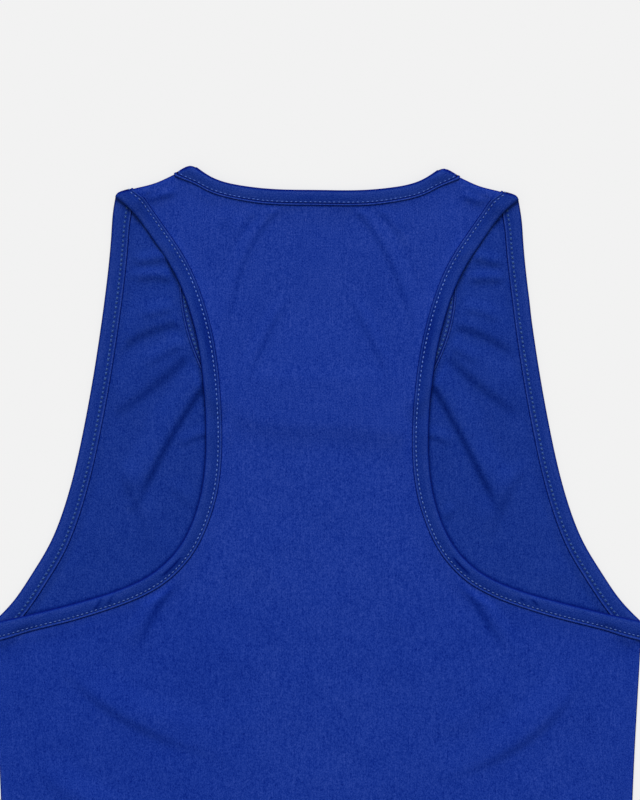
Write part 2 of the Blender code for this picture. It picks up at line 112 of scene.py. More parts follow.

# How the layers lie
BRIM_Y = 141  # where the back comes down from the front's neck binding, in the middle
BRIM_SLOPE = -0.13
SOFTEN = 0.12  # how gently the front's folds meet the table
NECK_BOWL = 110  # how far inside the front's neck the back comes down to the table
SAG = {"front": (0.026, 60), "back": (0.003, 420)}  # in each pass, and how many passes
WAVES = {"front": (0.16, 46, 5), "back": (0.12, 60, 11)}  # their height, their size and a seed
WAVE_COUNT = 9
TROUGH = 0.06  # how deep the hollow beside a fold is, for each unit of its height
HIDDEN_FLAT = 0.85  # how much of the front's folds the back over them presses out
SEAM_HIGH = 1  # the side seam's allowances, under the back
LEAST_FOLD = -0.35  # no fold takes the back lower than this below where it lies
SHADOW = 1.2  # how far the back's painted shadow reaches out over the front
LEFT_TONE = 0.06  # how much darker the front looks low on the left
BACK_TONE = 0.05  # and the back round its middle, and less near its neck
LOW_TONE = (0.08, 0.04, 0.07)  # the back below its armholes, more at both sides, and at the left
LEAN = 1.15  # how much lower the right shoulder lies, and how much higher the left one
SHOULDER_HOLLOW = 2.2  # how far the shoulders' folds sag between their bindings
BACK_DRAWN = 0.9  # how far the back is drawn to the right beside its armholes
LEFT_SPREAD = 0.45  # how far the left armhole's lower part lies out
RIGHT_SPREAD = 0.35  # how far the right armhole's upper part lies out
LEFT_DROOP = 1.3  # how much lower the left underarm lies
RIGHT_RISE = 0.55  # how much higher the right armhole's lower curve lies

# Hem
HEM_Y = -350
HEM_RISE = 3  # how much higher it is at the sides
HEM_DEPTH = 20
HEM_STEP = 1  # over which the wall goes from two layers to one
HEM_ROW = 2.5  # from the hem's upper edge to its stitches
HEM_CORNER = 4  # how much of the hem's edge each corner takes

# Outlines of the right half, as x and y. An opening's outline is the binding's folded edge. The
# shoulder and the underarm turn over about a line, their axis, which the outlines end on.
NECK_POINT = (96.2, 347.9)
SHOULDER_TIP = (161.4, 324.2)
UNDERARM = (259, -14)

BACK_NECK = (
    (0, 331.1), (34, 331.3), (60, 333.7), (84, 340.1), NECK_POINT,
)
FRONT_NECK = (
    (0, 154), (30, 154.6), (54, 160), (71.5, 173.5), (83.5, 192.8), (93, 216), (98.3, 240),
    (99.6, 270), (98.5, 310), NECK_POINT,
)
BACK_ARMHOLE = (
    SHOULDER_TIP, (149.5, 314.3), (134, 293.9), (115.6, 265.2), (104, 236.4), (96.4, 207.6),
    (91.6, 174), (89.4, 138), (91, 102), (97.2, 73.2), (109.4, 47), (130.8, 25), (159.7, 10.9),
    (191, 1.9), (225.9, -6.8), UNDERARM,
)
FRONT_ARMHOLE = (
    SHOULDER_TIP, (163.1, 314), (164.7, 294), (168.2, 257), (173.2, 218.8), (179.1, 180.4),
    (186.1, 142), (194.5, 103.6), (202.9, 74.8), (213.4, 49), (229, 23), (243.6, 2), UNDERARM,
)
# The side's outer edge, from the underarm to the hem
SIDE = ((260.35, -14), (258.6, -45), (255, -108), (251.2, -220), (252.5, -352))

# How long a binding's section is where it turns over, for each unit of its width
NECK_TURN = 1.5
SHOULDER_TURN = 1.17
UNDERARM_TURN = 1.14
TURN_BLEND = 30  # over this length the sections swing from that fold to square
NECK_BLEND = 16  # and at the neck
LEAST_SQUARE = 0.6  # the least part of a slanting section's width that is square to the edge
TURN_ANGLES = np.radians(np.arange(12, 179, 12))  # of a binding's sections round a fold

# Folds and drag lines. Each follows a curve from x0, y0 past x1, y1 to x2, y2. Its shaded side is
# dark_width across and faces away from the neck, and its lit side is light_width across. Its tone
# is painted shade: how much darker the cloth is painted in the crease.
Fold = namedtuple("Fold", "x0 y0 x1 y1 x2 y2 height dark_width light_width start end tone")
FRONT_FOLDS = (
    (-148, 271, -133, 273, -112, 277, 1.1, 6, 9, 0.3, 0.2, 0.1),
    (-149, 257, -130, 260, -109, 255, 1.2, 6, 8, 0.3, 0.3, 0.1),
    (-144, 228, -129, 231, -112, 236, 0.7, 6, 10, 0.4, 0.3, 0.05),
    (-163, 195, -138, 215.5, -100, 225, 1.9, 9, 34, 0.35, 0.15, 0.28),
    (-138, 188, -121, 199, -98, 210, 0.6, 5.5, 11, 0.3, 0.25, 0.22),
    (-174, 144, -138, 168, -92, 208, 1.8, 11, 38, 0.5, 0.15, 0.35),
    (-144, 76, -114, 138, -72, 199, 2.7, 8, 22, 0.22, 0.2, 0.55),
    (-108, 123, -99, 131, -80, 134, 0.7, 5, 10, 0.3, 0.2, 0.35),
    (-168, 116, -149, 86, -136, 36, 1, 10, 14, 0.4, 0.4, 0.12),
    (-150, 72, -145, 78, -137, 92, 0.5, 7, 8, 0.4, 0.4, 0.15),
    (-123, 90, -111, 86, -101, 70, 0.5, 8, 12, 0.4, 0.4, 0.15),
    (122, 275, 137, 272, 149, 269, 1.1, 6, 9, 0.2, 0.3, 0.1),
    (118, 256, 136, 258, 152, 256, 1.2, 6, 8, 0.3, 0.3, 0.1),
    (114, 234, 130, 231, 150, 223, 0.7, 6, 10, 0.3, 0.4, 0.05),
    (98, 222, 131, 214.5, 163, 194, 1.9, 9, 34, 0.12, 0.35, 0.28),
    (98, 208, 114, 199, 130, 190, 0.6, 5.5, 11, 0.25, 0.3, 0.2),
    (92, 208, 131, 173, 170, 144, 1.8, 10, 36, 0.15, 0.45, 0.35),
    (74, 204, 113, 138, 147, 69, 2.8, 7.6, 22, 0.2, 0.22, 0.6),
    (80, 134, 97, 131, 108, 124, 0.7, 5, 10, 0.2, 0.4, 0.35),
    (178, 110, 154, 88, 139, 36, 1, 10, 14, 0.4, 0.4, 0.12),
    (103, 64, 108, 71, 112, 80, 0.6, 6, 8, 0.4, 0.4, 0.3),
)
BACK_FOLDS = (
    (-24, 319, -58, 274, -74, 196, 0.7, 5, 12, 0.1, 0.35, 0.32),
    (-38, 319, -56, 304, -72, 276, 0.5, 5, 10, 0.2, 0.5, 0.2),
    (-18, 250, -40, 213, -57, 170, 0.6, 6, 9, 0.35, 0.4, 0.26),
    (24, 319, 58, 273, 80, 192, 0.7, 5, 12, 0.1, 0.4, 0.32),
    (40, 319, 60, 302, 76, 274, 0.5, 5, 10, 0.2, 0.5, 0.2),
    (22, 250, 42, 212, 60, 168, 0.6, 6, 9, 0.35, 0.4, 0.26),
    (-86, 306, -74, 302, -62, 302, 0.4, 14, 12, 0.4, 0.4, 0.14),
    (60, 303, 71, 302, 82, 305, 0.4, 14, 12, 0.4, 0.4, 0.14),
    (-137, 324, -124, 327, -110, 328, 1.3, 6, 8, 0.4, 0.35, 0.6),
    (112, 327, 126, 323.5, 142, 320, 1.2, 7, 9, 0.35, 0.45, 0.5),
    (-104, 28, -127, -3, -144, -40, 1.5, 9, 12, 0.3, 0.4, 0.5),
    (106, 28, 130, -5, 151, -42, 1.5, 9, 12, 0.3, 0.4, 0.5),
    (-214, -42, -150, -96, -62, -128, 1.4, 10, 26, 0.4, 0.5, 0.14),
    (218, -52, 166, -112, 84, -146, 1.5, 10, 26, 0.4, 0.5, 0.16),
    (-236, -120, -170, -176, -90, -196, 1.3, 12, 24, 0.4, 0.5, 0.12),
    (238, -150, 176, -196, 118, -206, 1.2, 11, 24, 0.4, 0.5, 0.12),
    (-60, -214, 10, -232, 84, -226, 1, 11, 26, 0.5, 0.5, 0.08),
    (-206, -252, -150, -262, -96, -254, 1, 10, 20, 0.5, 0.5, 0.1),
)
UNDER_FOLDS = (
    (-180, -60, -110, -100, -20, -96, 0.5, 12, 22, 0.5, 0.5, 0),
    (176, -40, 120, -96, 40, -120, 0.5, 12, 22, 0.5, 0.5, 0),
    (-210, -190, -140, -222, -60, -214, 0.8, 12, 22, 0.5, 0.5, 0),
    (30, -190, 110, -226, 200, -216, 0.8, 12, 22, 0.5, 0.5, 0),
)
BINDING_FOLDS = (
    (-178, -5, -174.5, 0.5, -171, 7, 0.5, 3.2, 3, 0.3, 0.3, 1.1),
    (-167, -1, -165, 3.5, -162.5, 9, 0.5, 3, 3, 0.3, 0.3, 1),
    (-107, 41, -116, 29, -127, 20, 0.3, 3.4, 3, 0.3, 0.3, 1.2),
    (161, 5, 164, 3, 167, 0, 0.4, 2.6, 3, 0.4, 0.4, 1),
    (170, 3, 174, 1, 178, -3, 0.5, 3, 3, 0.4, 0.4, 1.2),
    (107, 41, 115, 30, 124, 22, 0.3, 3.4, 3, 0.3, 0.3, 1.3),
)

# The rings of points along a panel's edge, outermost first
ROLL = np.radians((90, 77, 64, 51, 38, 25, 12, 0))  # round a fold
RINGS = len(ROLL)
QUARTER = 1.56  # just short of the first angle
CORNER_INSETS = np.linspace(5, 12, RINGS)
CORNER_BEFORE = np.linspace(0, 1, RINGS)
CORNER_ROWS = 7
BOUND_INSETS = np.array((2, 6, -0.5, 0.15, 0.7, 1.7, 3.6, 6.6))
BOUND_FROM_SEAM = np.arange(RINGS) > 1  # which of them are counted from the seam
HEM_INSETS = np.array((0, 0.08, 0.25, 0.5, 0.9, 1.5, 2.4, 4))
HEM_SHARES = np.array((0.3, 0.6, 0.82, 0.94, 1, 1, 1, 1))  # of half the wall
SHADOW_ROWS = (-1, 0, 1, 2.2, 3.6)  # of the front's points, out from the back's armholes

NOSE_REACH = 1.7  # how far from its folded edge a binding is worn where it turns over
SQUARE = ((0, 0), (0, 1), (1, 1), (1, 0))  # the corners of a face, as steps along and round

CELL = 1.4  # the spacing of the grid that heights are worked out on
GRID_X = np.arange(-195, 196) * CELL
GRID_Y = np.arange(-262, 263) * CELL

# Which places across a back binding its levels are found at, and how much of its lift they take
REST_SPANS = (
    ((0, 0.15, 0.3), 1),
    ((0.15, 0.3, 0.5, 0.7, 0.85), 0.65),
    ((0.7, 0.85, 1), 1 / 3),
)

Edge = namedtuple("Edge", "at into stretch run width")


# ---------------------------------------------------------------- small helpers


def vec(*numbers):
    return np.array(numbers, dtype=float)


def unit(v):
    return v / np.linalg.norm(v, axis=-1, keepdims=True)


def ramp(value, start, end):
    """0 up to start, 1 from end on, and a smooth step between. End may be less than start."""
    t = np.clip((value - start) / (end - start), 0, 1)
    return t * t * (3 - 2 * t)


def hump(value, middle, spread):
    """1 in the middle, and smoothly less on both sides."""
    return np.exp(-(((value - middle) / spread) ** 2))


def along(points):
    """The distance from the first of these points to each, along them."""
    return np.concatenate([[0], np.cumsum(np.linalg.norm(np.diff(points, axis=0), axis=1))])


def neighbours(values, reach=5):
    """The values along a line, and those up to this many places before and after each."""
    padded = np.pad(values, reach, mode="edge")
    return [padded[i : i + len(values)] for i in range(2 * reach + 1)]


def tree_of(points):
    tree = KDTree(len(points))
    for i, (x, y) in enumerate(points.tolist()):
        tree.insert((x, y, 0), i)
    tree.balance()
    return tree


def shifted(faces, count):
    """The same faces for points that come after this many others."""
    return [tuple(i + count for i in face) for face in faces]


def spline(points, pitch, even=False):
    """Points about this far apart on the smooth curve through these, and its directions."""
    p = np.array(points, dtype=float)
    t = along(p)
    h = np.diff(t)
    n = len(p)
    system = np.eye(n)
    right = np.zeros((n, 2))
    for i in range(1, n - 1):
        system[i, i - 1 : i + 2] = h[i - 1], 2 * (h[i - 1] + h[i]), h[i]
        right[i] = 6 * ((p[i + 1] - p[i]) / h[i] - (p[i] - p[i - 1]) / h[i - 1])
    bend = np.linalg.solve(system, right)

    def at(s):
        i = np.clip(np.searchsorted(t, s) - 1, 0, n - 2)
        a = ((t[i + 1] - s) / h[i])[:, None]
        b = 1 - a
        k = (h[i] ** 2 / 6)[:, None]
        return a * p[i] + b * p[i + 1] + k * ((a**3 - a) * bend[i] + (b**3 - b) * bend[i + 1])

    fine = np.linspace(0, t[-1], 4001)
    run = along(at(fine))
    spans = math.ceil(run[-1] / pitch)
    if even:
        spans += spans % 2
    s = np.interp(np.linspace(0, run[-1], spans + 1), run, fine)
    step = t[-1] * 1e-4
    ways = at(np.clip(s + step, 0, t[-1])) - at(np.clip(s - step, 0, t[-1]))
    return at(s), unit(ways)


SHOULDER_WAY = unit(vec(*SHOULDER_TIP) - vec(*NECK_POINT))  # along the fold, to the tip
SHOULDER_OUT = vec(-SHOULDER_WAY[1], SHOULDER_WAY[0])  # across it, out of the cloth
SIDE_WAY = unit(vec(*SIDE[1]) - vec(*SIDE[0]))  # down the side, from the underarm
SIDE_OUT = vec(-SIDE_WAY[1], SIDE_WAY[0])
SIDE_LINE = spline(SIDE, 1.5)[0]


def side_x(y):
    return np.interp(-np.asarray(y, dtype=float), -SIDE_LINE[:, 1], SIDE_LINE[:, 0])


def hem_y(x):
    return HEM_Y + HEM_RISE * (x / side_x(HEM_Y)) ** 2


# ---------------------------------------------------------------- edges


def edge_stations(points, pitch, width, turns, even=False, blend=TURN_BLEND, flare=1):
    """A bound edge, with its panel on the right of the curve."""
    at, ways = spline(points, pitch, even)
    square = np.stack([ways[:, 1], -ways[:, 0]], axis=1)
    run = along(at)
    into, stretch = square.copy(), np.ones(len(at))
    for from_end, (fold_into, fold_stretch) in zip((run, run[-1] - run), turns):
        share = ramp(from_end, blend, 0)
        near = share > 0
        mixed = unit(share[:, None] * fold_into + (1 - share)[:, None] * square)
        slant = np.maximum(LEAST_SQUARE, (mixed * square).sum(axis=1))
        into[near] = mixed[near]
        share = share**flare
        stretch[near] = (share * fold_stretch + (1 - share) / slant)[near]
    return Edge(at, into, stretch, run, width)


def neck_edge(points, pitch):
    turns = [(SHOULDER_WAY * (side, 1), NECK_TURN / NECK_TAPER) for side in (-1, 1)]
    points = (*((-x, y) for x, y in points[:0:-1]), *points)
    edge = edge_stations(points, pitch, NECK_WIDTH, turns, True, NECK_BLEND, 3)
    edge.stretch[:] *= 1 - (1 - NECK_TAPER) * ramp(np.abs(edge.at[:, 0]), 40, 75)
    return edge


def armhole_edge(points, pitch, narrow=0, curve_narrow=0):
    turns = ((-SHOULDER_WAY, SHOULDER_TURN), (SIDE_WAY, UNDERARM_TURN))
    edge = edge_stations(points, pitch, ARMHOLE_WIDTH, turns)
    curve = ramp(edge.at[:, 1], 95, 65) * ramp(edge.at[:, 0], 205, 165)
    edge.stretch[:] *= 1 - (narrow + curve_narrow * curve) * ramp(from_ends(edge), 10, 40)
    return edge


def from_ends(edge):
    """How far each station is from the nearer end of its edge."""
    return np.minimum(edge.run, edge.run[-1] - edge.run)


def inset_points(edge, inset):
    """The places at these distances into the panel from each station."""
    return edge.at[:, None] + (edge.stretch[:, None] * inset)[..., None] * edge.into[:, None]


def depth_inside(edge):
    """On the grid, how far each place is inside the panel from a bound edge, less than 0 outside
    it, and the number of the nearest station. The left half is the right one's mirror image."""
    tree = tree_of(edge.at)
    x, y = np.meshgrid(GRID_X[len(GRID_X) // 2 :], GRID_Y)
    flat = np.stack([x.ravel(), y.ravel()], axis=1)
    found = [tree.find((px, py, 0)) for px, py in flat.tolist()]
    index = np.array([f[1] for f in found])
    gap = np.array([f[2] for f in found])
    sign = np.where(((flat - edge.at[index]) * edge.into[index]).sum(axis=1) < 0, -1, 1)
    halves = (sign * gap).reshape(x.shape), index.reshape(x.shape)
    return [np.concatenate([half[:, :0:-1], half], axis=1) for half in halves]


# ---------------------------------------------------------------- heights


def fold_heights(folds, x, y):
    """How far the folds in a table lift or press down the cloth at each place, and the painted
    shade in their creases.
    """
    total, tone = np.zeros(x.shape), np.zeros(x.shape)
    t = np.linspace(0, 1, 33)[:, None]
    for f in map(Fold._make, folds):
        a, b, c = vec(f.x0, f.y0), vec(f.x1, f.y1), vec(f.x2, f.y2)
        b = 2 * b - 0.5 * (a + c)  # so that the curve goes through the middle point
        path = (1 - t) ** 2 * a + 2 * t * (1 - t) * b + t**2 * c
        reach = f.dark_width * 2.5 + f.light_width * 1.6
        low, high = path.min(axis=0) - reach, path.max(axis=0) + reach
        near = (x > low[0]) & (x < high[0]) & (y > low[1]) & (y < high[1])
        if not near.any():
            continue
        ways = np.diff(path, axis=0)
        long = np.linalg.norm(ways, axis=1)
        shaded = np.stack([ways[:, 1], -ways[:, 0]], axis=1) / long[:, None]
        shaded *= np.where(shaded[:, 1:] > 0, -1, 1)  # to the side away from the neck
        off = np.stack([x[near], y[near]], axis=1)[:, None] - path[:-1]
        share = np.clip((off * ways).sum(axis=2) / long**2, 0, 1)
        off -= share[..., None] * ways
        gap = (off * off).sum(axis=2)
        nearest = gap.argmin(axis=1)
        pick = np.arange(len(nearest)), nearest
        off = np.sign((off * shaded).sum(axis=2))[pick] * np.sqrt(gap[pick])
        share = (nearest + share[pick]) / len(ways)
        half = f.dark_width / 2
        rise, fall = ramp(off, -half - f.light_width, -half), ramp(off, -half, half)
        trough = np.clip((off - half * 0.6) / (f.dark_width * 1.7), 0, 1)
        profile = rise * (1 - fall) - TROUGH * np.sin(math.pi * trough) ** 2
        fade = ramp(share, 0, f.start) * ramp(share, 1, 1 - f.end)
        total[near] += f.height * profile * fade
        # painted shade along the crease
        tone[near] += f.tone * 4 * fall * (1 - fall) * fade
    return total, tone


def waves(x, y, high, size, seed):
    """Slow random waves, about this high, with crests about this far apart."""
    draw = np.random.default_rng(seed)
    total = np.zeros(x.shape)
    for _ in range(WAVE_COUNT):
        turn = draw.uniform(0, math.pi)
        long = size * draw.uniform(0.7, 1.7)
        shift = draw.uniform(0, 2 * math.pi)
        total += np.sin((x * math.cos(turn) + y * math.sin(turn)) * 2 * math.pi / long + shift)
    return high * (total / math.sqrt(WAVE_COUNT))


def blur(field, passes=1):
    """Evens out a grid field, with weights of 1, 2 and 1 each way."""
    for _ in range(passes):
        padded = np.pad(field, 1, mode="edge")
        rows = padded[:-2] + 2 * padded[1:-1] + padded[2:]
        field = (rows[:, :-2] + 2 * rows[:, 1:-1] + rows[:, 2:]) / 16
    return field


def settle(low, held, value, sag, passes):
    """Lets a sheet sag between what lies under it, low, and where it is held."""
    sheet = np.where(held, value, low)
    for _ in range(passes):
        sheet = np.maximum(blur(sheet) - sag, low)
        sheet[held] = value[held]
    return sheet


def sample(field, x, y):
    """A grid field's value at each place."""
    u = np.clip((np.asarray(x) - GRID_X[0]) / CELL, 0, len(GRID_X) - 1.001)
    v = np.clip((np.asarray(y) - GRID_Y[0]) / CELL, 0, len(GRID_Y) - 1.001)
    i, j = u.astype(int), v.astype(int)
    u, v = u - i, v - j
    low = field[j, i] * (1 - u) + field[j, i + 1] * u
    high = field[j + 1, i] * (1 - u) + field[j + 1, i + 1] * u
    return low * (1 - v) + high * v


def lean(x, y):
    """How much lower each place lies than its mirror image would: the right shoulder is a little
    lower than the left one."""
    return LEAN * ramp(y, 120, 320) * np.clip(x / 97, -1, 1)


def laid(points):
    """The points where the vest lies as it was put down: the right shoulder and the left underarm
    a little lower, both shoulders hollow between their bindings, and the back drawn to the right
    beside its armholes."""
    x, y = points[:, 0], points[:, 1]
    ax = np.abs(x)
    right = BACK_DRAWN * hump(y, 222, 60) * ramp(ax, 165, 130) * ramp(ax, 30, 80)
    right -= LEFT_SPREAD * ramp(x, -150, -190)
    upper = ramp(y, 225, 245) * ramp(y, 320, 300)
    right += RIGHT_SPREAD * ramp(x, 150, 160) * upper
    down = SHOULDER_HOLLOW * ramp(np.abs(ax - 129), 25, 0) * ramp(y, 296, 336)
    down += LEFT_DROOP * ramp(x, -140, -200) * hump(y, 0, 70)
    down -= RIGHT_RISE * ramp(x, 118, 140) * ramp(x, 188, 154) * hump(y, 12, 34)
    return np.column_stack([x + right, y - lean(x, y) - down, points[:, 2]])


def shoulder_distance(x, y):
    """How far each place is out across the shoulder fold's axis, less than 0 inside."""
    return SHOULDER_OUT[0] * (np.abs(x) - SHOULDER_TIP[0]) + SHOULDER_OUT[1] * (y - SHOULDER_TIP[1])


class Lie:
    """How the two layers lie: the height of the middle of each panel's wall and the tone of its
    cloth, mostly painted shade, on the grid, and the level of each binding's middle along its
    edges."""

    def __init__(self, wall, pitch):
        self.half_wall = wall / 2
        self.edges = {
            "front_neck": neck_edge(FRONT_NECK, pitch),
            "back_neck": neck_edge(BACK_NECK, pitch),
            "front_armhole": armhole_edge(FRONT_ARMHOLE, pitch),
            "back_armhole": armhole_edge(BACK_ARMHOLE, pitch, BACK_NARROW, CURVE_NARROW),
        }
        self.deep = {name: depth_inside(edge) for name, edge in self.edges.items()}
        self.levels = {name: np.full((len(edge.at), 3), SKIN) for name, edge in self.edges.items()}
        self.height, self.tone = {}, {}
        x, y = np.meshgrid(GRID_X, GRID_Y)
        self.lay_front(x, y)
        self.lay_back(x, y, self.under_back(x, y))

    def strips(self, side):
        """For a panel's neck and its armhole: how far inside each place is, and the width bound."""
        names = side + "_neck", side + "_armhole"
        return [(self.deep[name][0], self.edges[name].width) for name in names]

    def free(self, side, x, y, from_fold, to):
        """How free each place is to lie in folds: 1, and less near a binding, a fold or the hem."""
        free = ramp(side_x(y) - np.abs(x), 4, 18) * ramp(y - hem_y(x) - HEM_DEPTH, 0, 20)
        free *= ramp(-shoulder_distance(x, y), from_fold, to)
        for depth, width in self.strips(side):
            free *= ramp(np.abs(depth - width / 2) - width / 2, 1, 7)
        return free

    def lay_front(self, x, y):
        half = self.half(x, y)
        held = shoulder_distance(x, y) > -5
        for depth, width in self.strips("front"):
            held |= (depth > -6) & (depth < width + 0.8)
        base = settle(half, held, np.full(x.shape, SKIN), *SAG["front"])
        outside, index = self.deep["back_armhole"]
        seen, tone = fold_heights(FRONT_FOLDS, x, y - lean(x, y))
        seen *= 1 - HIDDEN_FLAT * ramp(outside, 1, 12)
        folds = seen + fold_heights(UNDER_FOLDS, x, y)[0] + waves(x, y, *WAVES["front"]) + GAP
        free = self.free("front", x, y, 8, 22)
        loose = half + SOFTEN * np.logaddexp(0, (base + folds * free - half) / SOFTEN)
        self.height["front"] = np.where(held, base, loose)
        # Painted shadow on the front beside the back armholes' folded edges, strongest round their
        # lower curves; high up, where the real shadow falls, it turns to a painted lightening.
        shadow = np.clip(0.75 - 1.9 * self.edges["back_armhole"].into[index, 1], -0.3, 1.1)
        shadow *= hump(np.maximum(-outside, 0), 0, SHADOW)
        # Painted shade in the front's creases, where it is free to fold, and darker low on the
        # left.
        tone = tone * free + LEFT_TONE * ramp(x, -90, -130) * ramp(y, 90, 30)
        self.tone["front"] = tone + shadow

    def under_back(self, x, y):
        """The height of what the back lies on: the front and its bindings, or the table."""
        top = self.height["front"] + self.half(x, y)
        for (depth, width), bowl in zip(self.strips("front"), (NECK_BOWL, GAP)):
            bound = (depth > -0.4) & (depth < width + 0.4)
            top = np.where(bound, np.maximum(top, 2 * SKIN), top)
            top = np.where(depth < -0.4, 2 * SKIN * (1 - ramp(-depth, 0, bowl)), top)
        seam = ramp(np.abs(x) - side_x(y), -9, -6) * ramp(UNDERARM[1] - y, 0, 20)
        return top + SEAM_HIGH * seam

    def lay_back(self, x, y, top):
        half = self.half(x, y)
        held, value = shoulder_distance(x, y) > -5, np.full(x.shape, FOLD_LEVEL)
        for name, lift in (("back_neck", 0), ("back_armhole", EDGE_LIFT)):
            edge, (depth, index) = self.edges[name], self.deep[name]
            self.levels[name] = self.rest(edge, top, lift)
            inside = (depth > -4) & (depth < edge.width + 0.8)
            held |= inside
            level = between(self.levels[name][index], np.clip(depth / edge.width, 0, 1))
            value = np.where(inside, level, value)
        above = y - BRIM_Y - BRIM_SLOPE * x
        level = ramp(above, 0, 2.5) * ramp(np.abs(x), 90, 68) * (y < BRIM_Y + 40)
        low = np.maximum(top, 2 * SKIN * level) + GAP + half
        lain = settle(low + 2 * GAP, held, value, *SAG["back"])
        folds, tone = fold_heights(BACK_FOLDS, x, y - lean(x, y))
        folds += waves(x, y, *WAVES["back"])
        free = self.free("back", x, y, 4, 14)
        loose = np.maximum(blur(lain, 12), low) + np.maximum(folds * free, LEAST_FOLD)
        self.height["back"] = np.where(held, lain, loose)
        # Painted shade in the back's creases, where it is free to fold.
        tone = tone * free
        tone += BACK_TONE * (ramp(above, 0, -14) + hump(y, 200, 28) - ramp(y, 280, 310))
        lower, sides, left = LOW_TONE
        lower = lower + sides * ramp(np.abs(x), 30, 90) + left * ramp(x, -30, -90)
        self.tone["back"] = tone + ramp(y, 22, -18) * lower

    def half(self, x, y):
        """Half the wall's thickness, which is double in the hem."""
        above = y - hem_y(x) - HEM_DEPTH + HEM_STEP
        return self.half_wall * (2 - np.clip(above / HEM_STEP, 0, 1))

    def rest(self, edge, top, lift):
        """A back binding's levels at its folded edge, its middle and its seam edge, lying on what
        is under it."""
        made = []
        stand, near = ramp(from_ends(edge), 80, 120), ramp(from_ends(edge), 20, 6)
        for parts, share in REST_SPANS:
            place = inset_points(edge, edge.width * np.array(parts))
            found = sample(top, np.abs(place[..., 0]), place[..., 1]).max(axis=1)
            found = np.max(neighbours(found), axis=0)
            found = found + GAP + SKIN * pressed(edge) + lift * share * stand
            found = found * (1 - near) + FOLD_LEVEL * near
            made.append(np.mean(neighbours(found), axis=0))
        levels = np.stack(made, axis=1)
        levels[[0, -1]] = FOLD_LEVEL
        return levels

    def middle(self, side, x, y):
        return sample(self.height[side], x, y)


@lru_cache(maxsize=1)
def lie():
    sizes = bpy.context.scene.vest_sizes
    return Lie(sizes.cloth / MM, sizes.station / MM)


def pressed(edge):
    """How thick a binding is for its full thickness: it is pressed flatter where it comes down from
    the shoulder."""
    return 1 - PRESS * ramp(edge.into[:, 1], 0.25, 0.5) * ramp(from_ends(edge), 10, 24)


def between(levels, share):
    """The level at a share of the way across a binding, from its levels at the folded edge, the
    middle and the seam edge."""
    low, middle, high = levels[..., 0], levels[..., 1], levels[..., 2]
    twice = 2 * share
    first, second = low + (middle - low) * twice, middle + (high - middle) * (twice - 1)
    return np.where(share < 0.5, first, second)


# ---------------------------------------------------------------- panels
# A column runs across a panel's edge: its outer points, its inner ones and its tone, mostly
# painted shade.


def wall(side, points, half):
    """The outer and the inner face of a wall that lies flat, from its middle."""
    lift = half[..., None] * vec(0, 0, SIGN[side])
    return points + lift, points - lift


def bound_columns(side, name):
    """The columns along a bound edge, one at each station."""
    cloth = lie()
    edge = cloth.edges[name]
    corner = ramp(from_ends(edge), 10, 1)[:, None]
    insets = BOUND_INSETS + BOUND_FROM_SEAM * edge.width
    inset = (1 - corner) * insets + corner * CORNER_INSETS
    place, past = inset_points(edge, inset), inset - edge.width
    x, y = place[..., 0], place[..., 1]
    loose = ramp(past, 0.5, 4.5) * (1 - corner)
    level = between(cloth.levels[name][:, None], np.clip(inset / edge.width, 0, 1))
    z = level * (1 - loose) + cloth.middle(side, x, y) * loose
    # Painted shade along the seam, deeper near the shoulder, and the panel's tone further in.
    seam = (1 - np.clip(np.abs(past - 0.15) / 0.6, 0, 1)) * (1 - corner)
    seam *= SEAM_TONE[name.split("_")[1]] * (1 + SEAM_DEEPER * ramp(y, 250, 290))
    seam += sample(cloth.tone[side], x, y) * loose
    half = np.full(x.shape, cloth.half_wall)
    return list(zip(*wall(side, np.dstack([x, y, z]), half), seam))


def fold_painted_shade(angle):
    """The painted shade where the cloth turns over: how much darker it is painted."""
    return FOLD_PAINTED_SHADE * ramp(angle, 0.05, 0.65)


def rolled(side, axis, out, radius, height, angle, half):
    """A column round a fold's axis, at each angle. At 90 degrees it ends half a gap short of the
    other panel."""
    faces, last = [], angle > QUARTER
    for r in (radius + half, radius - half):
        rise = np.where(last, GAP / 2, r * np.cos(angle))
        reach = np.where(last, np.sqrt(np.maximum(r * r - GAP * GAP / 4, 0)), r * np.sin(angle))
        faces.append(np.column_stack([axis + out * reach[:, None], height + SIGN[side] * rise]))
    # with painted shade where it turns over
    return (*faces, fold_painted_shade(angle))


def turn_columns(side, corner, way, stretch, out):
    """The columns where a bound edge turns over at the end of a fold."""
    made = []
    for share in np.linspace(0, 1, CORNER_ROWS):
        run = -CORNER_BEFORE + share * (CORNER_BEFORE + ROLL * FOLD_RADIUS)
        place = corner + way * (stretch * CORNER_INSETS)[:, None]
        place = place + out * np.minimum(run, 0)[:, None]
        angle, height = np.maximum(run, 0) / FOLD_RADIUS, SKIN + FOLD_RADIUS
        made.append(rolled(side, place, out, FOLD_RADIUS, height, angle, lie().half_wall))
    return made


def fold_column(side, at, out, is_axis, insets=np.zeros(RINGS), shares=1):
    """A column round a shoulder or side fold, or round the side's corner with the hem."""
    cloth = lie()
    place = at + np.outer(insets, (0, 1))
    x, y = place.T
    half = cloth.half(x, y)
    low, high = cloth.middle("front", x, y), cloth.middle("back", x, y)
    radius = np.maximum((high - low) / 2, half + 0.2)
    height = low + radius
    half = half * shares
    axis = place if is_axis else place - out * (radius + half)[:, None]
    return rolled(side, axis, out, radius, height, ROLL, half)


def hem_columns(side, pitch):
    cloth = lie()
    corner = side_x(HEM_Y) - HEM_CORNER
    made = []
    for x in np.linspace(corner, 0, math.ceil(corner / pitch) + 1):
        y = hem_y(x) + HEM_INSETS
        x = np.full(RINGS, x)
        points = np.column_stack([x, y, cloth.middle(side, x, y)])
        made.append((*wall(side, points, cloth.half(x, y) * HEM_SHARES), np.zeros(RINGS)))
    return made


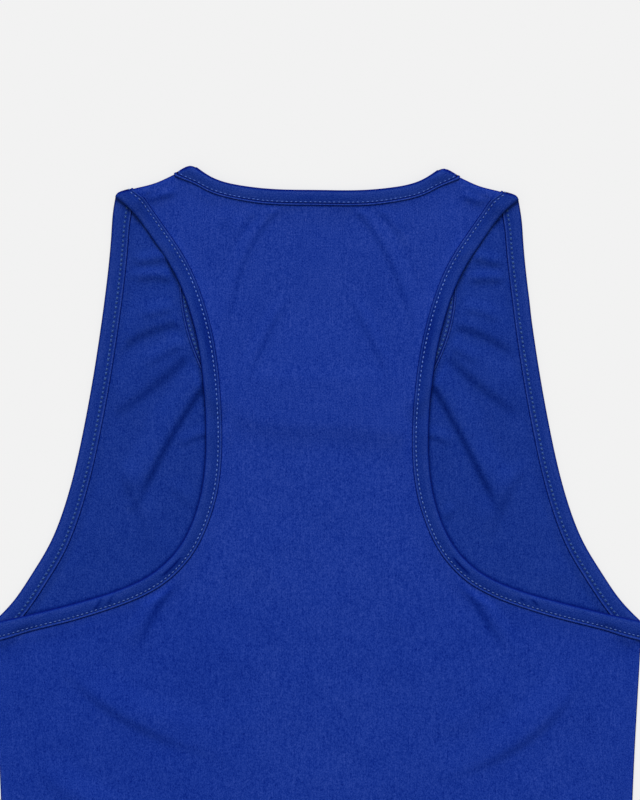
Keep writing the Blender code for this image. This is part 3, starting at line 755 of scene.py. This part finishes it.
def panel_columns(side):
    """The right half's columns, from the middle of the neck to the middle of the hem."""
    neck = bound_columns(side, side + "_neck")
    made = neck[len(neck) // 2 : -1]
    made += turn_columns(side, NECK_POINT, SHOULDER_WAY, NECK_TURN, SHOULDER_OUT)
    start, end = vec(*NECK_POINT), vec(*SHOULDER_TIP)
    length, corner = np.linalg.norm(end - start), CORNER_INSETS[-1]
    for run in np.arange(NECK_TURN * corner + 2, length - SHOULDER_TURN * corner - 1, 2):
        made.append(fold_column(side, start + SHOULDER_WAY * run, SHOULDER_OUT, True))
    made += turn_columns(side, SHOULDER_TIP, -SHOULDER_WAY, SHOULDER_TURN, SHOULDER_OUT)[::-1]
    made += bound_columns(side, side + "_armhole")[1:-1]
    made += turn_columns(side, UNDERARM, SIDE_WAY, UNDERARM_TURN, SIDE_OUT)
    foot = hem_y(side_x(HEM_Y))
    hem = foot + HEM_DEPTH
    levels = np.arange(UNDERARM[1] - UNDERARM_TURN * corner - 2, hem + 1.5, -2.5)
    for y in (*levels, hem, hem - HEM_STEP, *np.arange(hem - 3.5, foot + 5, -2.5)):
        made.append(fold_column(side, vec(side_x(y), y), SIDE_OUT, False))
    made.append(fold_column(side, vec(side_x(foot), foot), SIDE_OUT, False, HEM_INSETS, HEM_SHARES))
    return made + hem_columns(side, 2.5)


def inside(points, ring):
    """Which of these points are inside a closed ring."""
    within = np.zeros(len(points), dtype=bool)
    x, y = points[:, 0], points[:, 1]
    for (ax, ay), (bx, by) in zip(ring, np.roll(ring, -1, axis=0)):
        if ay != by:
            crosses = (ay > y) != (by > y)
            within ^= crosses & (x < ax + (y - ay) * (bx - ax) / (by - ay))
    return within


def clear_of(points, others, gap):
    """The points that are at least this far from the others."""
    tree = tree_of(others)
    far = [tree.find((x, y, 0))[2] > gap for x, y in points.tolist()]
    return points[np.array(far)]


def inner_points(side, ring, fine, coarse):
    """Points inside a panel: close together where it shows its folds, and wider elsewhere."""
    made = []
    for step, wanted in ((fine, True), (coarse, False)):
        x, y = np.meshgrid(np.arange(-260, 261, step), np.arange(-349, 350, step))
        points = np.stack([x.ravel(), y.ravel()], axis=1)
        points[:, 0] += step * 0.5 * (np.arange(len(points)) // x.shape[1] % 2) - step * 0.25
        close = points[:, 1] > -150
        if side == "front":
            close = (np.abs(points[:, 0]) > 82) & (points[:, 1] > -6)
        points = points[close == wanted]
        points = points[inside(points, ring)]
        made.append(clear_of(points, ring, step * 0.6))
    if side == "front":  # rows along the edge of the back's armholes, where the shadow is
        edge = lie().edges["back_armhole"]
        rows = np.concatenate([edge.at - edge.into * reach for reach in SHADOW_ROWS])
        rows = np.concatenate([rows, rows * (-1, 1)])
        rows = clear_of(rows[inside(rows, ring)], ring, 1)
        made = [clear_of(points, rows, 1) for points in made] + [rows]
    return np.concatenate(made)


def outward(points, faces):
    """Turns all faces of a closed mesh round if they point inwards."""
    volume = 0
    for size in (3, 4):
        chosen = np.array([f for f in faces if len(f) == size], dtype=int)
        for k in range(1, size - 1):
            if len(chosen):
                a, b, c = points[chosen[:, 0]], points[chosen[:, k]], points[chosen[:, k + 1]]
                volume += (a * np.cross(b, c)).sum()
    return faces if volume > 0 else [tuple(reversed(f)) for f in faces]


def new_piece(name, points, faces, slot, materials, seam=None, groups=None):
    """A finished piece from points in millimetres, riding on the body."""
    points = laid(points) + vec(0, 0, PROUD)
    mesh = bpy.data.meshes.new(name)
    mesh.from_pydata((points * MM).tolist(), [], faces)
    mesh.polygons.foreach_set("use_smooth", [True] * len(faces))
    for material in materials:
        mesh.materials.append(material)
    if groups is not None:
        mesh.polygons.foreach_set("material_index", groups)
    # The seam attribute holds each point's tone, mostly painted shade and painted highlight.
    if seam is not None:
        mesh.attributes.new("seam", "FLOAT", "POINT").data.foreach_set("value", seam)
    piece = bpy.data.objects.new(name, mesh)
    bpy.context.collection.objects.link(piece)
    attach(piece, "root")
    return piece


def make_panel(side, materials):
    """A closed shell: rings round its outline, a triangulated middle, and the same on its inner
    side, joined round the edge."""
    name = side + "_panel"
    cloth = lie()
    sizes = bpy.context.scene.vest_sizes
    right = panel_columns(side)
    outer, inner, seam = (np.array(layer) for layer in zip(*right))
    x, y = np.vstack([outer[:, 0, :2], [[0, outer[-1, 0, 1]]]]).T
    area = abs((x * np.roll(y, -1) - y * np.roll(x, -1)).sum()) * MM * MM  # both halves
    flip = vec(-1, 1, 1)
    outer, inner = (np.concatenate([half, half[-2:0:-1] * flip]) for half in (outer, inner))
    seam = np.concatenate([seam, seam[-2:0:-1]])
    count = len(outer)
    last = outer[:, -1, :2]
    middle = inner_points(side, last, sizes.fine / MM, sizes.coarse / MM)
    flat = [Vector(p) for p in np.concatenate([last, middle]).tolist()]
    found = delaunay_2d_cdt(flat, [], [list(reversed(range(count)))], 1, 1e-6)
    if len(found[0]) != len(flat):
        raise RuntimeError(f"{name}: its outline crosses itself")
    order = [ids[0] for ids in found[3]]

    x, y = middle.T
    height, half = cloth.middle(side, x, y), cloth.half(x, y)
    points = []
    for skin, lift in ((outer, SIGN[side]), (inner, -SIGN[side])):
        points.append(skin.transpose(1, 0, 2).reshape(-1, 3))
        points.append(np.column_stack([x, y, height + lift * half]))
    points = np.concatenate(points)
    size = len(points) // 2
    base = (RINGS - 1) * count
    skin = [tuple(base + order[i] for i in face) for face in found[2]]
    rim = [(i, (i + 1) % count) for i in range(count)]
    for k in range(RINGS - 1):
        skin += shifted([(a, a + count, b + count, b) for a, b in rim], k * count)
    faces = skin + [tuple(reversed(face)) for face in shifted(skin, size)]
    faces += [(a, b, b + size, a + size) for a, b in rim]
    groups = [0] * len(skin) + [1] * len(skin) + [0] * count
    # Each point's tone, mostly painted shade and painted highlight, for the material to read.
    marks = np.tile(np.concatenate([seam.T.ravel(), sample(cloth.tone[side], x, y)]), 2)
    faces = outward(points, faces)
    piece = new_piece(name + "_cloth", points, faces, "body_knit", materials, marks, groups)
    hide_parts(name)
    low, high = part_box(name)
    flat = (high[0] - low[0], high[1] - low[1])


# ---------------------------------------------------------------- bindings


def binding_section(width, kind):
    """A binding's section, from its folded edge: the distance across, the height from the middle
    of the panel inside, and its painted shade, less than 0 where it is a painted highlight."""
    row = width - STITCH_INSET[kind]
    groove, ridge, nose, body = GROOVE[kind], RIDGE[kind], NOSE[kind], BODY[kind]
    # Painted shade across the folded edge and a painted highlight just inside it, painted shade
    # towards the stitches on an armhole and a painted highlight there on the neck, painted shade in
    # the groove, a painted highlight on the ridge, and painted shade at the seam.
    outer = (
        (0, 0, nose[0]), (0.1, 0.42, nose[1]), (0.42, 0.84, nose[2]), (0.95, 1.12, nose[3]),
        (1.5, 1.27, nose[4]), (2.1, 1.36, -0.18), (3.2, 1.42, -0.19), (5.2, 1.4, -0.05),
        (6.9, 1.35, 0.1 * body), (row - 1.9, 1.27, 0.18 * body), (row - 0.9, 1.14, 0.25 * body),
        (row, 0.98, 0.3 * body), (row + 0.6, 0.96, 0.2 * groove),
        (row + 0.85, 0.8, 1.35 * groove), (row + 1.2, 0.8, 1.35 * groove),
        (row + 1.45, 0.98, 0.1 * groove), (row + 1.9, 1.15, ridge), (width - 0.45, 1.13, ridge),
        (width - 0.2, 0.98, 0.1), (width - 0.03, 0.76, 0.9), (width, 0.56, 1),
        (width - 0.12, 0.42, 1),
    )
    half = outer + tuple((across, SLOT, 0) for across in (width - 1, width / 2, 1.3))
    return np.array(half + tuple((a, -h, g) for a, h, g in reversed(half[1:])))


def binding_ring(kind, section):
    """A binding's sections: along the back, over the fold, and along the front to the fold that
    it started at."""
    cloth = lie()
    edge = cloth.edges["back_" + kind]
    across, rise = section.T[:2]
    thick = ramp(across, 0.5, 3.5) * (1 - 0.6 * ramp(across, 4, 11)) * (rise > SLOT)
    thick *= PUFF[kind]
    draw, reach = ROUND[kind]
    drawn_in = draw * np.clip(1 - across / reach, 0, 1) ** 2
    ends = inset_points(edge, across)[[0, -1]]

    def flat(name, sign):
        strip = cloth.edges[name]
        lift = pressed(strip)[:, None] * rise
        if sign > 0:
            lift += ramp(from_ends(strip), 14, 2)[:, None] * thick
        level = between(cloth.levels[name][:, None], np.clip(across / edge.width, 0, 1))
        return np.dstack([inset_points(strip, across), level + sign * lift])

    def turn(end, angles, out):
        angle = angles[:, None]
        r = FOLD_RADIUS + rise + thick * np.minimum(1, 1 + np.cos(angle))
        place = ends[end] + ((r - drawn_in) * np.sin(angle))[..., None] * out
        return np.dstack([place, SKIN + FOLD_RADIUS + r * np.cos(angle)])

    first, last = SHOULDER_OUT, SIDE_OUT
    if kind == "neck":
        first, last = SHOULDER_OUT * (-1, 1), SHOULDER_OUT
    over, under = turn(-1, TURN_ANGLES, last), turn(0, TURN_ANGLES[::-1], first)
    upper, lower = flat("back_" + kind, 1), flat("front_" + kind, -1)
    return np.concatenate([upper, over, lower[::-1], under])


def make_binding(name, kind, mirror, material):
    """A binding's piece, its ring of sections, and its length and width in millimetres."""
    edge = lie().edges["back_" + kind]
    section = binding_section(edge.width, kind)
    across, rise, deep = section.T
    ring = binding_ring(kind, section)
    if mirror:
        ring *= vec(-1, 1, 1)
    count, corners = ring.shape[:2]
    above, upper = len(edge.at), rise > SLOT  # the sections and the corners that show
    x, y = ring[:above, :, 0], ring[:above, :, 1]
    lift, tone = fold_heights(BINDING_FOLDS, x, y)
    ring[:above, :, 2] += lift * upper

    # How much of the painted shade across the folded edge is taken off, where it is pressed flatter
    # and near the shoulder.
    nose_shade_cut = PRESSED_NOSE_SHADE_CUT * (1 - pressed(edge))
    # Painted shade high on an armhole and in the neck's middle, on top of the painted shade in the
    # binding's creases; the neck's binding is also lighter all round.
    if kind == "armhole":
        tone += HOLLOW[kind] * hump(y, 214, 34) * ramp(across, 4, 8)
        nose_shade_cut = np.maximum(nose_shade_cut, SHOULDER_NOSE_SHADE_CUT * ramp(edge.at[:, 1], 282, 304))
    else:
        tone += HOLLOW[kind] * hump(x, 0, 34) * ramp(across, 2, 7) - NECK_WORN
    # Each point's tone: the section's painted shade and highlight, the painted shade above, and
    # less painted shade across the folded edge where it is cut.
    nose = np.where(across < NOSE_REACH, np.maximum(deep, 0), 0)
    seam = np.tile(deep, (count, 1))
    seam[:above] += tone * upper - nose_shade_cut[:, None] * nose
    # Painted shade round the turns at the binding's ends.
    bend = fold_painted_shade(np.minimum(TURN_ANGLES, math.pi - TURN_ANGLES))[:, None]
    seam[above : above + len(bend)] += bend
    seam[-len(bend) :] += bend

    middle = ring[:, corners // 4]
    run = along(np.concatenate([middle, middle[:1]]))
    girth = along(section[:, :2])
    girth = np.append(girth, girth[-1] + 1)
    uvs = [[(i + a, j + b) for a, b in SQUARE] for i in range(count) for j in range(corners)]
    faces = [tuple(i % count * corners + j % corners for i, j in uv) for uv in uvs]
    points = ring.reshape(-1, 3)
    turned = outward(points, faces)
    if turned is not faces:
        uvs = [reversed(uv) for uv in uvs]
    piece = new_piece(name + "_cloth", points, turned, "binding_knit", [material], seam.ravel())
    layer = piece.data.uv_layers.new(name="strip")
    flat_uv = [(run[i] * MM, girth[j] * MM) for uv in uvs for i, j in uv]
    layer.data.foreach_set("uv", np.array(flat_uv).ravel())
    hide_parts(name)
    return piece, ring, float(run[-1]), edge.width


# ---------------------------------------------------------------- stitches


def stitch_shape(length, width, thick):
    """A short length of thread, lying along x: its points and its faces."""
    points, faces, sides = [], [], 6
    girths = ((-0.4, 0.62), (-0.12, 1), (0.12, 1), (0.4, 0.62))
    for place, girth in girths:
        for k in range(sides):
            angle = 2 * math.pi * k / sides
            across, up = width / 2 * math.cos(angle), thick / 2 * math.sin(angle)
            points.append((place * length, girth * across, girth * up))
    start, end, last = len(points), len(points) + 1, len(points) - sides
    points += [(tip * length, 0, -thick * 0.3) for tip in (-0.5, 0.5)]
    for k in range(sides):
        n = (k + 1) % sides
        faces.append((start, n, k))
        faces += [(r + k, r + n, r + sides + n, r + sides + k) for r in range(0, last, sides)]
        faces.append((last + k, last + n, end))
    return np.array(points), faces


def stitch_row(line, normals, pitch, shape, lift, seed, slants=(0,)):
    """Stitches along a line of points, closed if it ends where it starts: a row for each slant."""
    run = along(line)
    count = max(2, round(run[-1] / pitch))
    shape_points, shape_faces = shape
    draw, draws = np.random.default_rng(seed), []
    for _ in range(count):
        draws.append((draw.uniform(-0.06, 0.06), draw.normal(0, 0.07), draw.uniform(0.9, 1.08)))
    shift, turn, size = np.array(draws).T
    places = (np.arange(count) + 0.5 + shift) * run[-1] / count

    def at(places, values):
        return np.stack([np.interp(places, run, column) for column in values.T], axis=1)

    way = unit(at(places + 0.6, line) - at(places - 0.6, line))
    side = unit(np.cross(unit(at(places, normals)), way))
    normal = np.cross(way, side)
    middle = (at(places, line) + normal * lift)[:, None]
    points = []
    for slant in slants:
        cos, sin = np.cos(turn + slant)[:, None], np.sin(turn + slant)[:, None]
        axes = np.stack([way * cos + side * sin, side * cos - way * sin, normal], axis=1)
        points.append((middle + size[:, None, None] * (shape_points @ axes)).reshape(-1, 3))
    faces = []
    for i in range(count * len(slants)):
        faces += shifted(shape_faces, i * len(shape_points))
    return np.concatenate(points), faces


def ring_line(ring, index):
    """A closed line along a binding at one corner of its section, and its outward normals."""
    line = ring[:, index]
    way = np.roll(line, -1, axis=0) - np.roll(line, 1, axis=0)
    span = ring[:, (index + 1) % ring.shape[1]] - ring[:, index - 1]
    normal = unit(np.cross(way, span))
    if ((line - ring.mean(axis=1)) * normal).sum() < 0:
        normal = -normal
    return np.concatenate([line, line[:1]]), np.concatenate([normal, normal[:1]])


def thread_painted_shade(y):
    """The painted shade on the thread, which lies deeper near the shoulder and round the armhole's
    lower curve."""
    high, low, bottom = THREAD_PAINTED_SHADE
    return high * ramp(y, 250, 280) + low * ramp(y, 150, 110) + bottom * ramp(y, 60, 20)


# ---------------------------------------------------------------- materials

DYE_AND_SHADE_DEPTHS = (2.5, 1.25, 0.48)  # how much faster red, green and blue darken than the tone, dye and painted shade alike
SEAM_DEPTH = -0.6  # how far a mesh's own tone, mostly painted shade and highlight, darkens the cloth
THREAD_DEPTH = -1.2  # and the thread, where it is painted shade
THREAD_SHADE = 0.6  # the thread's darker side, for its twist and its painted shade
WALE = 0.00085  # the width of the knit's columns of loops, in metres
COURSE = 0.00062  # and the height of its rows
KNITS = {
    "body": ("body_knit", "Object", True),
    "reverse": ("body_knit_reverse", "Object", True),
    "binding": ("binding_knit", "UV", False),
}
THREADS = {"thread": "stitching_thread", "sunk": "sunk_stitching_thread", "looper": "looper_thread"}


def set_inputs(tree, node, inputs):
    """Sets a node's inputs to values, or joins them to other nodes' outputs."""
    for key, value in dict(inputs).items():
        if isinstance(value, bpy.types.NodeSocket):
            tree.links.new(value, node.inputs[key])
        else:
            node.inputs[key].default_value = value


def add_node(tree, kind, inputs=(), **settings):
    node = tree.nodes.new(kind)
    for key, value in settings.items():
        setattr(node, key, value)
    set_inputs(tree, node, inputs)
    return node


def calculate(tree, operation, *inputs):
    return add_node(tree, "ShaderNodeMath", enumerate(inputs), operation=operation).outputs[0]


def add_mix(tree, share, first, second, **settings):
    inputs = {0: share, 6: first, 7: second}
    return add_node(tree, "ShaderNodeMix", inputs, data_type="RGBA", **settings).outputs[2]


def add_bump(tree, height, strength, distance):
    inputs = {"Height": height, "Strength": strength, "Distance": distance}
    return add_node(tree, "ShaderNodeBump", inputs).outputs[0]


# The seam attribute: each mesh's tone, mostly painted shade and painted highlight.
def painted_shading(tree):
    return add_node(tree, "ShaderNodeAttribute", attribute_name="seam").outputs["Fac"]


def new_material(name, roughness, specular, sheen, tint):
    material = bpy.data.materials.new(name)
    material.use_nodes = True
    tree = material.node_tree
    shader = tree.nodes["Principled BSDF"]
    settings = {
        "Roughness": roughness,
        "Specular IOR Level": specular,
        "Sheen Weight": sheen,
        "Sheen Roughness": 0.5,
        "Sheen Tint": (*tint, 1),
    }
    set_inputs(tree, shader, settings)
    return material, tree, shader


def knit_material(name, colour, place, upright):
    """A fine polyester knit. Its wales run up the pattern or, if not upright, across it, with
    loops in each, uneven dye in streaks and flecks, and the painted shade and highlight that each
    mesh carries, darker at the seams, grooves, creases and folded edges."""
    material, tree, shader = new_material(name, 0.82, 0.03, 0.02, (0.35, 0.5, 1))
    source = add_node(tree, "ShaderNodeTexCoord").outputs[place]

    def calc(operation, *inputs):
        return calculate(tree, operation, *inputs)

    def noise(across, along, detail, roughness=0.5):
        scale = (across, along, along) if upright else (along, across, along)
        mapping = add_node(tree, "ShaderNodeMapping", {"Vector": source, "Scale": scale})
        inputs = {0: mapping.outputs[0], "Scale": 1, "Detail": detail, "Roughness": roughness}
        return add_node(tree, "ShaderNodeTexNoise", inputs).outputs[0]

    streaks = noise(900, 60, 1)
    flecks = noise(1150, 780, 1.5, 0.6)
    mottles = noise(240, 170, 1)
    clouds = noise(30, 30, 2)

    # loops: chevrons in wales and courses
    split = add_node(tree, "ShaderNodeSeparateXYZ", {0: source}).outputs
    wale, course = (split[0], split[1]) if upright else (split[1], split[0])
    leg = calc("PINGPONG", calc("MULTIPLY", wale, 1 / WALE), 0.5)
    slant = calc("MULTIPLY_ADD", leg, 1.3, calc("MULTIPLY", course, 1 / COURSE))
    loop = calc("SINE", calc("MULTIPLY", slant, 2 * math.pi))
    rib = calc("SINE", calc("MULTIPLY", leg, 2 * math.pi))
    relief = calc("MULTIPLY_ADD", loop, 0.35, rib)

    tone = 1
    for pattern, strength in ((streaks, 0.5), (flecks, 2.1), (mottles, 0.3), (clouds, 0.22)):
        tone = calc("MULTIPLY_ADD", calc("SUBTRACT", pattern, 0.5), strength, tone)
    tone = calc("MULTIPLY_ADD", relief, 0.05, tone)
    # painted shade and highlight from the mesh's seam attribute
    tone = calc("MULTIPLY", tone, calc("MULTIPLY_ADD", painted_shading(tree), SEAM_DEPTH, 1))
    tone = calc("MAXIMUM", tone, 0.02)
    shades = enumerate([calc("POWER", tone, depth) for depth in DYE_AND_SHADE_DEPTHS])
    shade = add_node(tree, "ShaderNodeCombineColor", shades).outputs[0]
    fuzz = calc("MULTIPLY_ADD", flecks, 1.6, relief)
    looks = {
        "Base Color": add_mix(tree, 1, (*colour, 1), shade, blend_type="MULTIPLY"),
        "Roughness": calc("MULTIPLY_ADD", flecks, 0.14, 0.74),
        "Normal": add_bump(tree, fuzz, 0.35, 0.00009),
    }
    set_inputs(tree, shader, looks)
    return material


def thread_material(name, colour):
    """Twisted polyester thread, with painted shade from its seam attribute where it lies deep."""
    material, tree, shader = new_material(name, 0.6, 0.12, 0, (0.7, 0.8, 1))
    source = add_node(tree, "ShaderNodeTexCoord").outputs["Object"]
    inputs = {"Vector": source, "Scale": 900, "Detail": 2}
    twist = add_node(tree, "ShaderNodeTexNoise", inputs).outputs[0]
    # painted shade from the seam attribute, mixed with the twist
    share = calculate(tree, "MULTIPLY_ADD", painted_shading(tree), THREAD_DEPTH, twist)
    dark = (*(c * THREAD_SHADE for c in colour), 1)
    looks = {
        "Base Color": add_mix(tree, share, dark, (*colour, 1), clamp_factor=False),
        "Normal": add_bump(tree, twist, 0.4, 0.0001),
    }
    set_inputs(tree, shader, looks)
    return material


@lru_cache(maxsize=None)
def finish(kind):
    colour = getattr(bpy.context.scene.vest_colours, kind)
    if kind in THREADS:
        return thread_material(THREADS[kind], colour)
    name, *pattern = KNITS[kind]
    return knit_material(name, colour, *pattern)


# ---------------------------------------------------------------- settings


def length_property(name, description, default):
    return bpy.props.FloatProperty(
        name=name, description=description, default=default, unit="LENGTH", subtype="DISTANCE"
    )


def colour_property(name, description, default):
    return bpy.props.FloatVectorProperty(
        name=name, description=description, default=default, size=3, min=0, max=1, subtype="COLOR"
    )


def light_property(name, description, default):
    return bpy.props.FloatProperty(name=name, description=description, default=default)


class VestSizes(bpy.types.PropertyGroup):
    """Sizes that a maker would change."""

    cloth: length_property("Cloth", "Thickness of one layer", 0.0006)
    station: length_property("Station", "Spacing of the sections along a bound edge", 0.0013)
    fine: length_property("Fine spacing", "Spacing of points where the cloth shows", 0.002)
    coarse: length_property("Coarse spacing", "Spacing of points elsewhere", 0.0055)
    stitch: length_property("Stitch", "From one stitch to the next", 0.0038)


class VestColours(bpy.types.PropertyGroup):
    """Colours of the cloth and the thread."""

    body: colour_property("Body", "The knit's outer face", (0.0099, 0.0362, 0.2825))
    reverse: colour_property("Reverse", "The knit's inner face", (0.0070, 0.0300, 0.2340))
    binding: colour_property("Binding", "The folded bindings", (0.0072, 0.0293, 0.2230))
    thread: colour_property("Thread", "Topstitching", (0.128, 0.245, 0.71))
    # a darker copy of the thread's colour, as painted shade for topstitching that lies deep
    sunk: colour_property("Sunk thread", "Topstitching pulled in deep", (0.077, 0.162, 0.585))
    looper: colour_property("Looper thread", "The stitches' inner side", (0.045, 0.115, 0.38))


class VestStage(bpy.types.PropertyGroup):
    """The floor, the lights and the camera."""

    floor: colour_property("Floor", "The pale floor", (0.862, 0.862, 0.862))
    glow: light_property("Glow", "The share of the floor's light that is its own", 0.6)
    key: light_property("Key light", "Strength of the soft key light", 3.88)
    ambient: light_property("Ambient", "Strength of the even light", 0.412)
    lens: bpy.props.FloatProperty(
        name="Lens", description="Focal length", default=100, subtype="DISTANCE_CAMERA"
    )
    view_height: length_property("View", "Height of the view on the table", 0.64)
    aim: bpy.props.FloatVectorProperty(
        name="Aim",
        description="The middle of the view",
        default=(0.0024, 0.1628, 0.004),
        size=3,
        unit="LENGTH",
        subtype="TRANSLATION",
    )


# ---------------------------------------------------------------- operators

RINGS_MADE = {}  # each binding's ring of sections, for its stitches
BINDINGS = (
    ("neck_binding", "neck", False),
    ("left_armhole_binding", "armhole", True),
    ("right_armhole_binding", "armhole", False),
)
FLOOR_SIZE = 40
FLOOR_DROP = 0.0001  # below what lies on it
FLOOR_LIGHT = 0.887  # what the floor sends back under the lights
KEY_TILT = -60  # degrees from straight above, towards the neck
KEY_SPREAD = 34  # degrees
SENSOR = 36  # mm
WHITE = (1, 1, 1, 1)


class VEST_OT_front_panel(bpy.types.Operator):
    """Makes the front, face down on the table"""

    bl_idname = "vest.front_panel"
    bl_label = "Front panel"

    def execute(self, context):
        make_panel("front", [finish("body"), finish("reverse")])
        return {"FINISHED"}


class VEST_OT_back_panel(bpy.types.Operator):
    """Makes the back, lying on the front"""

    bl_idname = "vest.back_panel"
    bl_label = "Back panel"

    def execute(self, context):
        make_panel("back", [finish("body"), finish("reverse")])
        return {"FINISHED"}


class VEST_OT_bindings(bpy.types.Operator):
    """Makes the folded bindings round the neck and the armholes"""

    bl_idname = "vest.bindings"
    bl_label = "Bindings"

    def execute(self, context):
        for name, kind, mirror in BINDINGS:
            piece, ring, length, width = make_binding(name, kind, mirror, finish("binding"))
            RINGS_MADE[name] = ring
        return {"FINISHED"}


class VEST_OT_stitching(bpy.types.Operator):
    """Makes the topstitching on the bindings and the hem"""

    bl_idname = "vest.stitching"
    bl_label = "Stitching"

    def execute(self, context):
        pitch = context.scene.vest_sizes.stitch / MM
        top, under = stitch_shape(*TOP_STITCH), stitch_shape(*UNDER_STITCH)
        for name, kind, _ in BINDINGS:
            ring = RINGS_MADE[name]
            face, reverse = (ring_line(ring, corner) for corner in (STITCH_CORNER, LOOPER_CORNER))
            sunk = kind == "neck"
            lift = SUNK_LIFT if sunk else STITCH_LIFT
            points, faces = stitch_row(*face, pitch, top, lift, 3)
            # Painted shade on the thread where it lies deep, but not on the neck's.
            thread_shading = thread_painted_shade(points[:, 1]) * (not sunk)
            # The neck's thread gets its painted shade from the darker sunk colour.
            thread = [finish("sunk" if sunk else "thread")]
            new_piece(name.replace("binding", "stitching"), points, faces, "stitching", thread, thread_shading)
            slants = (LOOPER_SLANT, -LOOPER_SLANT)
            row = stitch_row(*reverse, pitch, under, LOOPER_LIFT, 4, slants)
            looper = [finish("looper")]
            new_piece(name.replace("binding", "looper"), *row, "stitching", looper)
        cloth = lie()
        reach = side_x(HEM_Y) - 5
        x = np.arange(-reach, reach, 4)
        y = hem_y(x) + HEM_DEPTH - HEM_ROW
        for side, way in SIGN.items():
            line = np.column_stack([x, y, cloth.middle(side, x, y) + way * cloth.half(x, y)])
            normals = np.tile(vec(0, 0, way), (len(x), 1))
            row = stitch_row(line, normals, pitch, top, way * STITCH_LIFT, 5)
            new_piece(side + "_hem_stitching", *row, "stitching", [finish("thread")])
        return {"FINISHED"}


class VEST_OT_stage(bpy.types.Operator):
    """Makes the floor, the light and the camera"""

    bl_idname = "vest.stage"
    bl_label = "Stage"

    def execute(self, context):
        settings = context.scene.vest_stage
        context.scene.view_settings.view_transform = "Standard"
        bpy.ops.mesh.primitive_plane_add(size=FLOOR_SIZE, location=(0, 0, -FLOOR_DROP))
        floor = context.object
        floor.name = "floor"
        material, tree, shader = new_material("floor_paint", 1, 0, 0, WHITE[:3])
        light = {
            "Base Color": (*(vec(*settings.floor) * (1 - settings.glow)), 1),
            "Emission Color": WHITE,
            "Emission Strength": settings.glow * FLOOR_LIGHT,
        }
        set_inputs(tree, shader, light)
        floor.data.materials.append(material)

        world = bpy.data.worlds.new("studio")
        world.use_nodes = True
        light = {"Color": WHITE, "Strength": settings.ambient}
        set_inputs(world.node_tree, world.node_tree.nodes["Background"], light)
        context.scene.world = world
        bpy.ops.object.light_add(type="SUN", rotation=(math.radians(KEY_TILT), 0, 0))
        key = context.object
        key.name = "key"
        key.data.energy = settings.key
        key.data.angle = math.radians(KEY_SPREAD)

        distance = settings.view_height * settings.lens / SENSOR
        x, y, z = settings.aim
        bpy.ops.object.camera_add(location=(x, y, z + distance), rotation=(0, 0, 0))
        camera = context.object
        camera.data.lens = settings.lens
        camera.data.sensor_width = SENSOR
        context.scene.camera = camera
        return {"FINISHED"}


class VEST_PT_sidebar(bpy.types.Panel):
    """The vest's settings and makers"""

    bl_label = "Boxing vest"
    bl_space_type = "VIEW_3D"
    bl_region_type = "UI"
    bl_category = "Vest"

    def draw(self, context):
        for name, kind in GROUPS.items():
            box = self.layout.box()
            for key in kind.__annotations__:
                box.prop(getattr(context.scene, name), key)
        for operator in OPERATORS:
            self.layout.operator(operator.bl_idname)


OPERATORS = (
    VEST_OT_front_panel,
    VEST_OT_back_panel,
    VEST_OT_bindings,
    VEST_OT_stitching,
    VEST_OT_stage,
)
GROUPS = {"vest_sizes": VestSizes, "vest_colours": VestColours, "vest_stage": VestStage}


def register():
    for kind in (*GROUPS.values(), *OPERATORS, VEST_PT_sidebar):
        bpy.utils.register_class(kind)
    for name, kind in GROUPS.items():
        setattr(bpy.types.Scene, name, bpy.props.PointerProperty(type=kind))


def unregister():
    for name in GROUPS:
        delattr(bpy.types.Scene, name)
    for kind in reversed((*GROUPS.values(), *OPERATORS, VEST_PT_sidebar)):
        bpy.utils.unregister_class(kind)


def main():
    register()
    bpy.ops.object.select_all(action="DESELECT")
    bpy.ops.vest.front_panel()
    bpy.ops.vest.back_panel()
    bpy.ops.vest.bindings()
    bpy.ops.vest.stitching()
    bpy.ops.vest.stage()


if __name__ == "__main__":
    main()
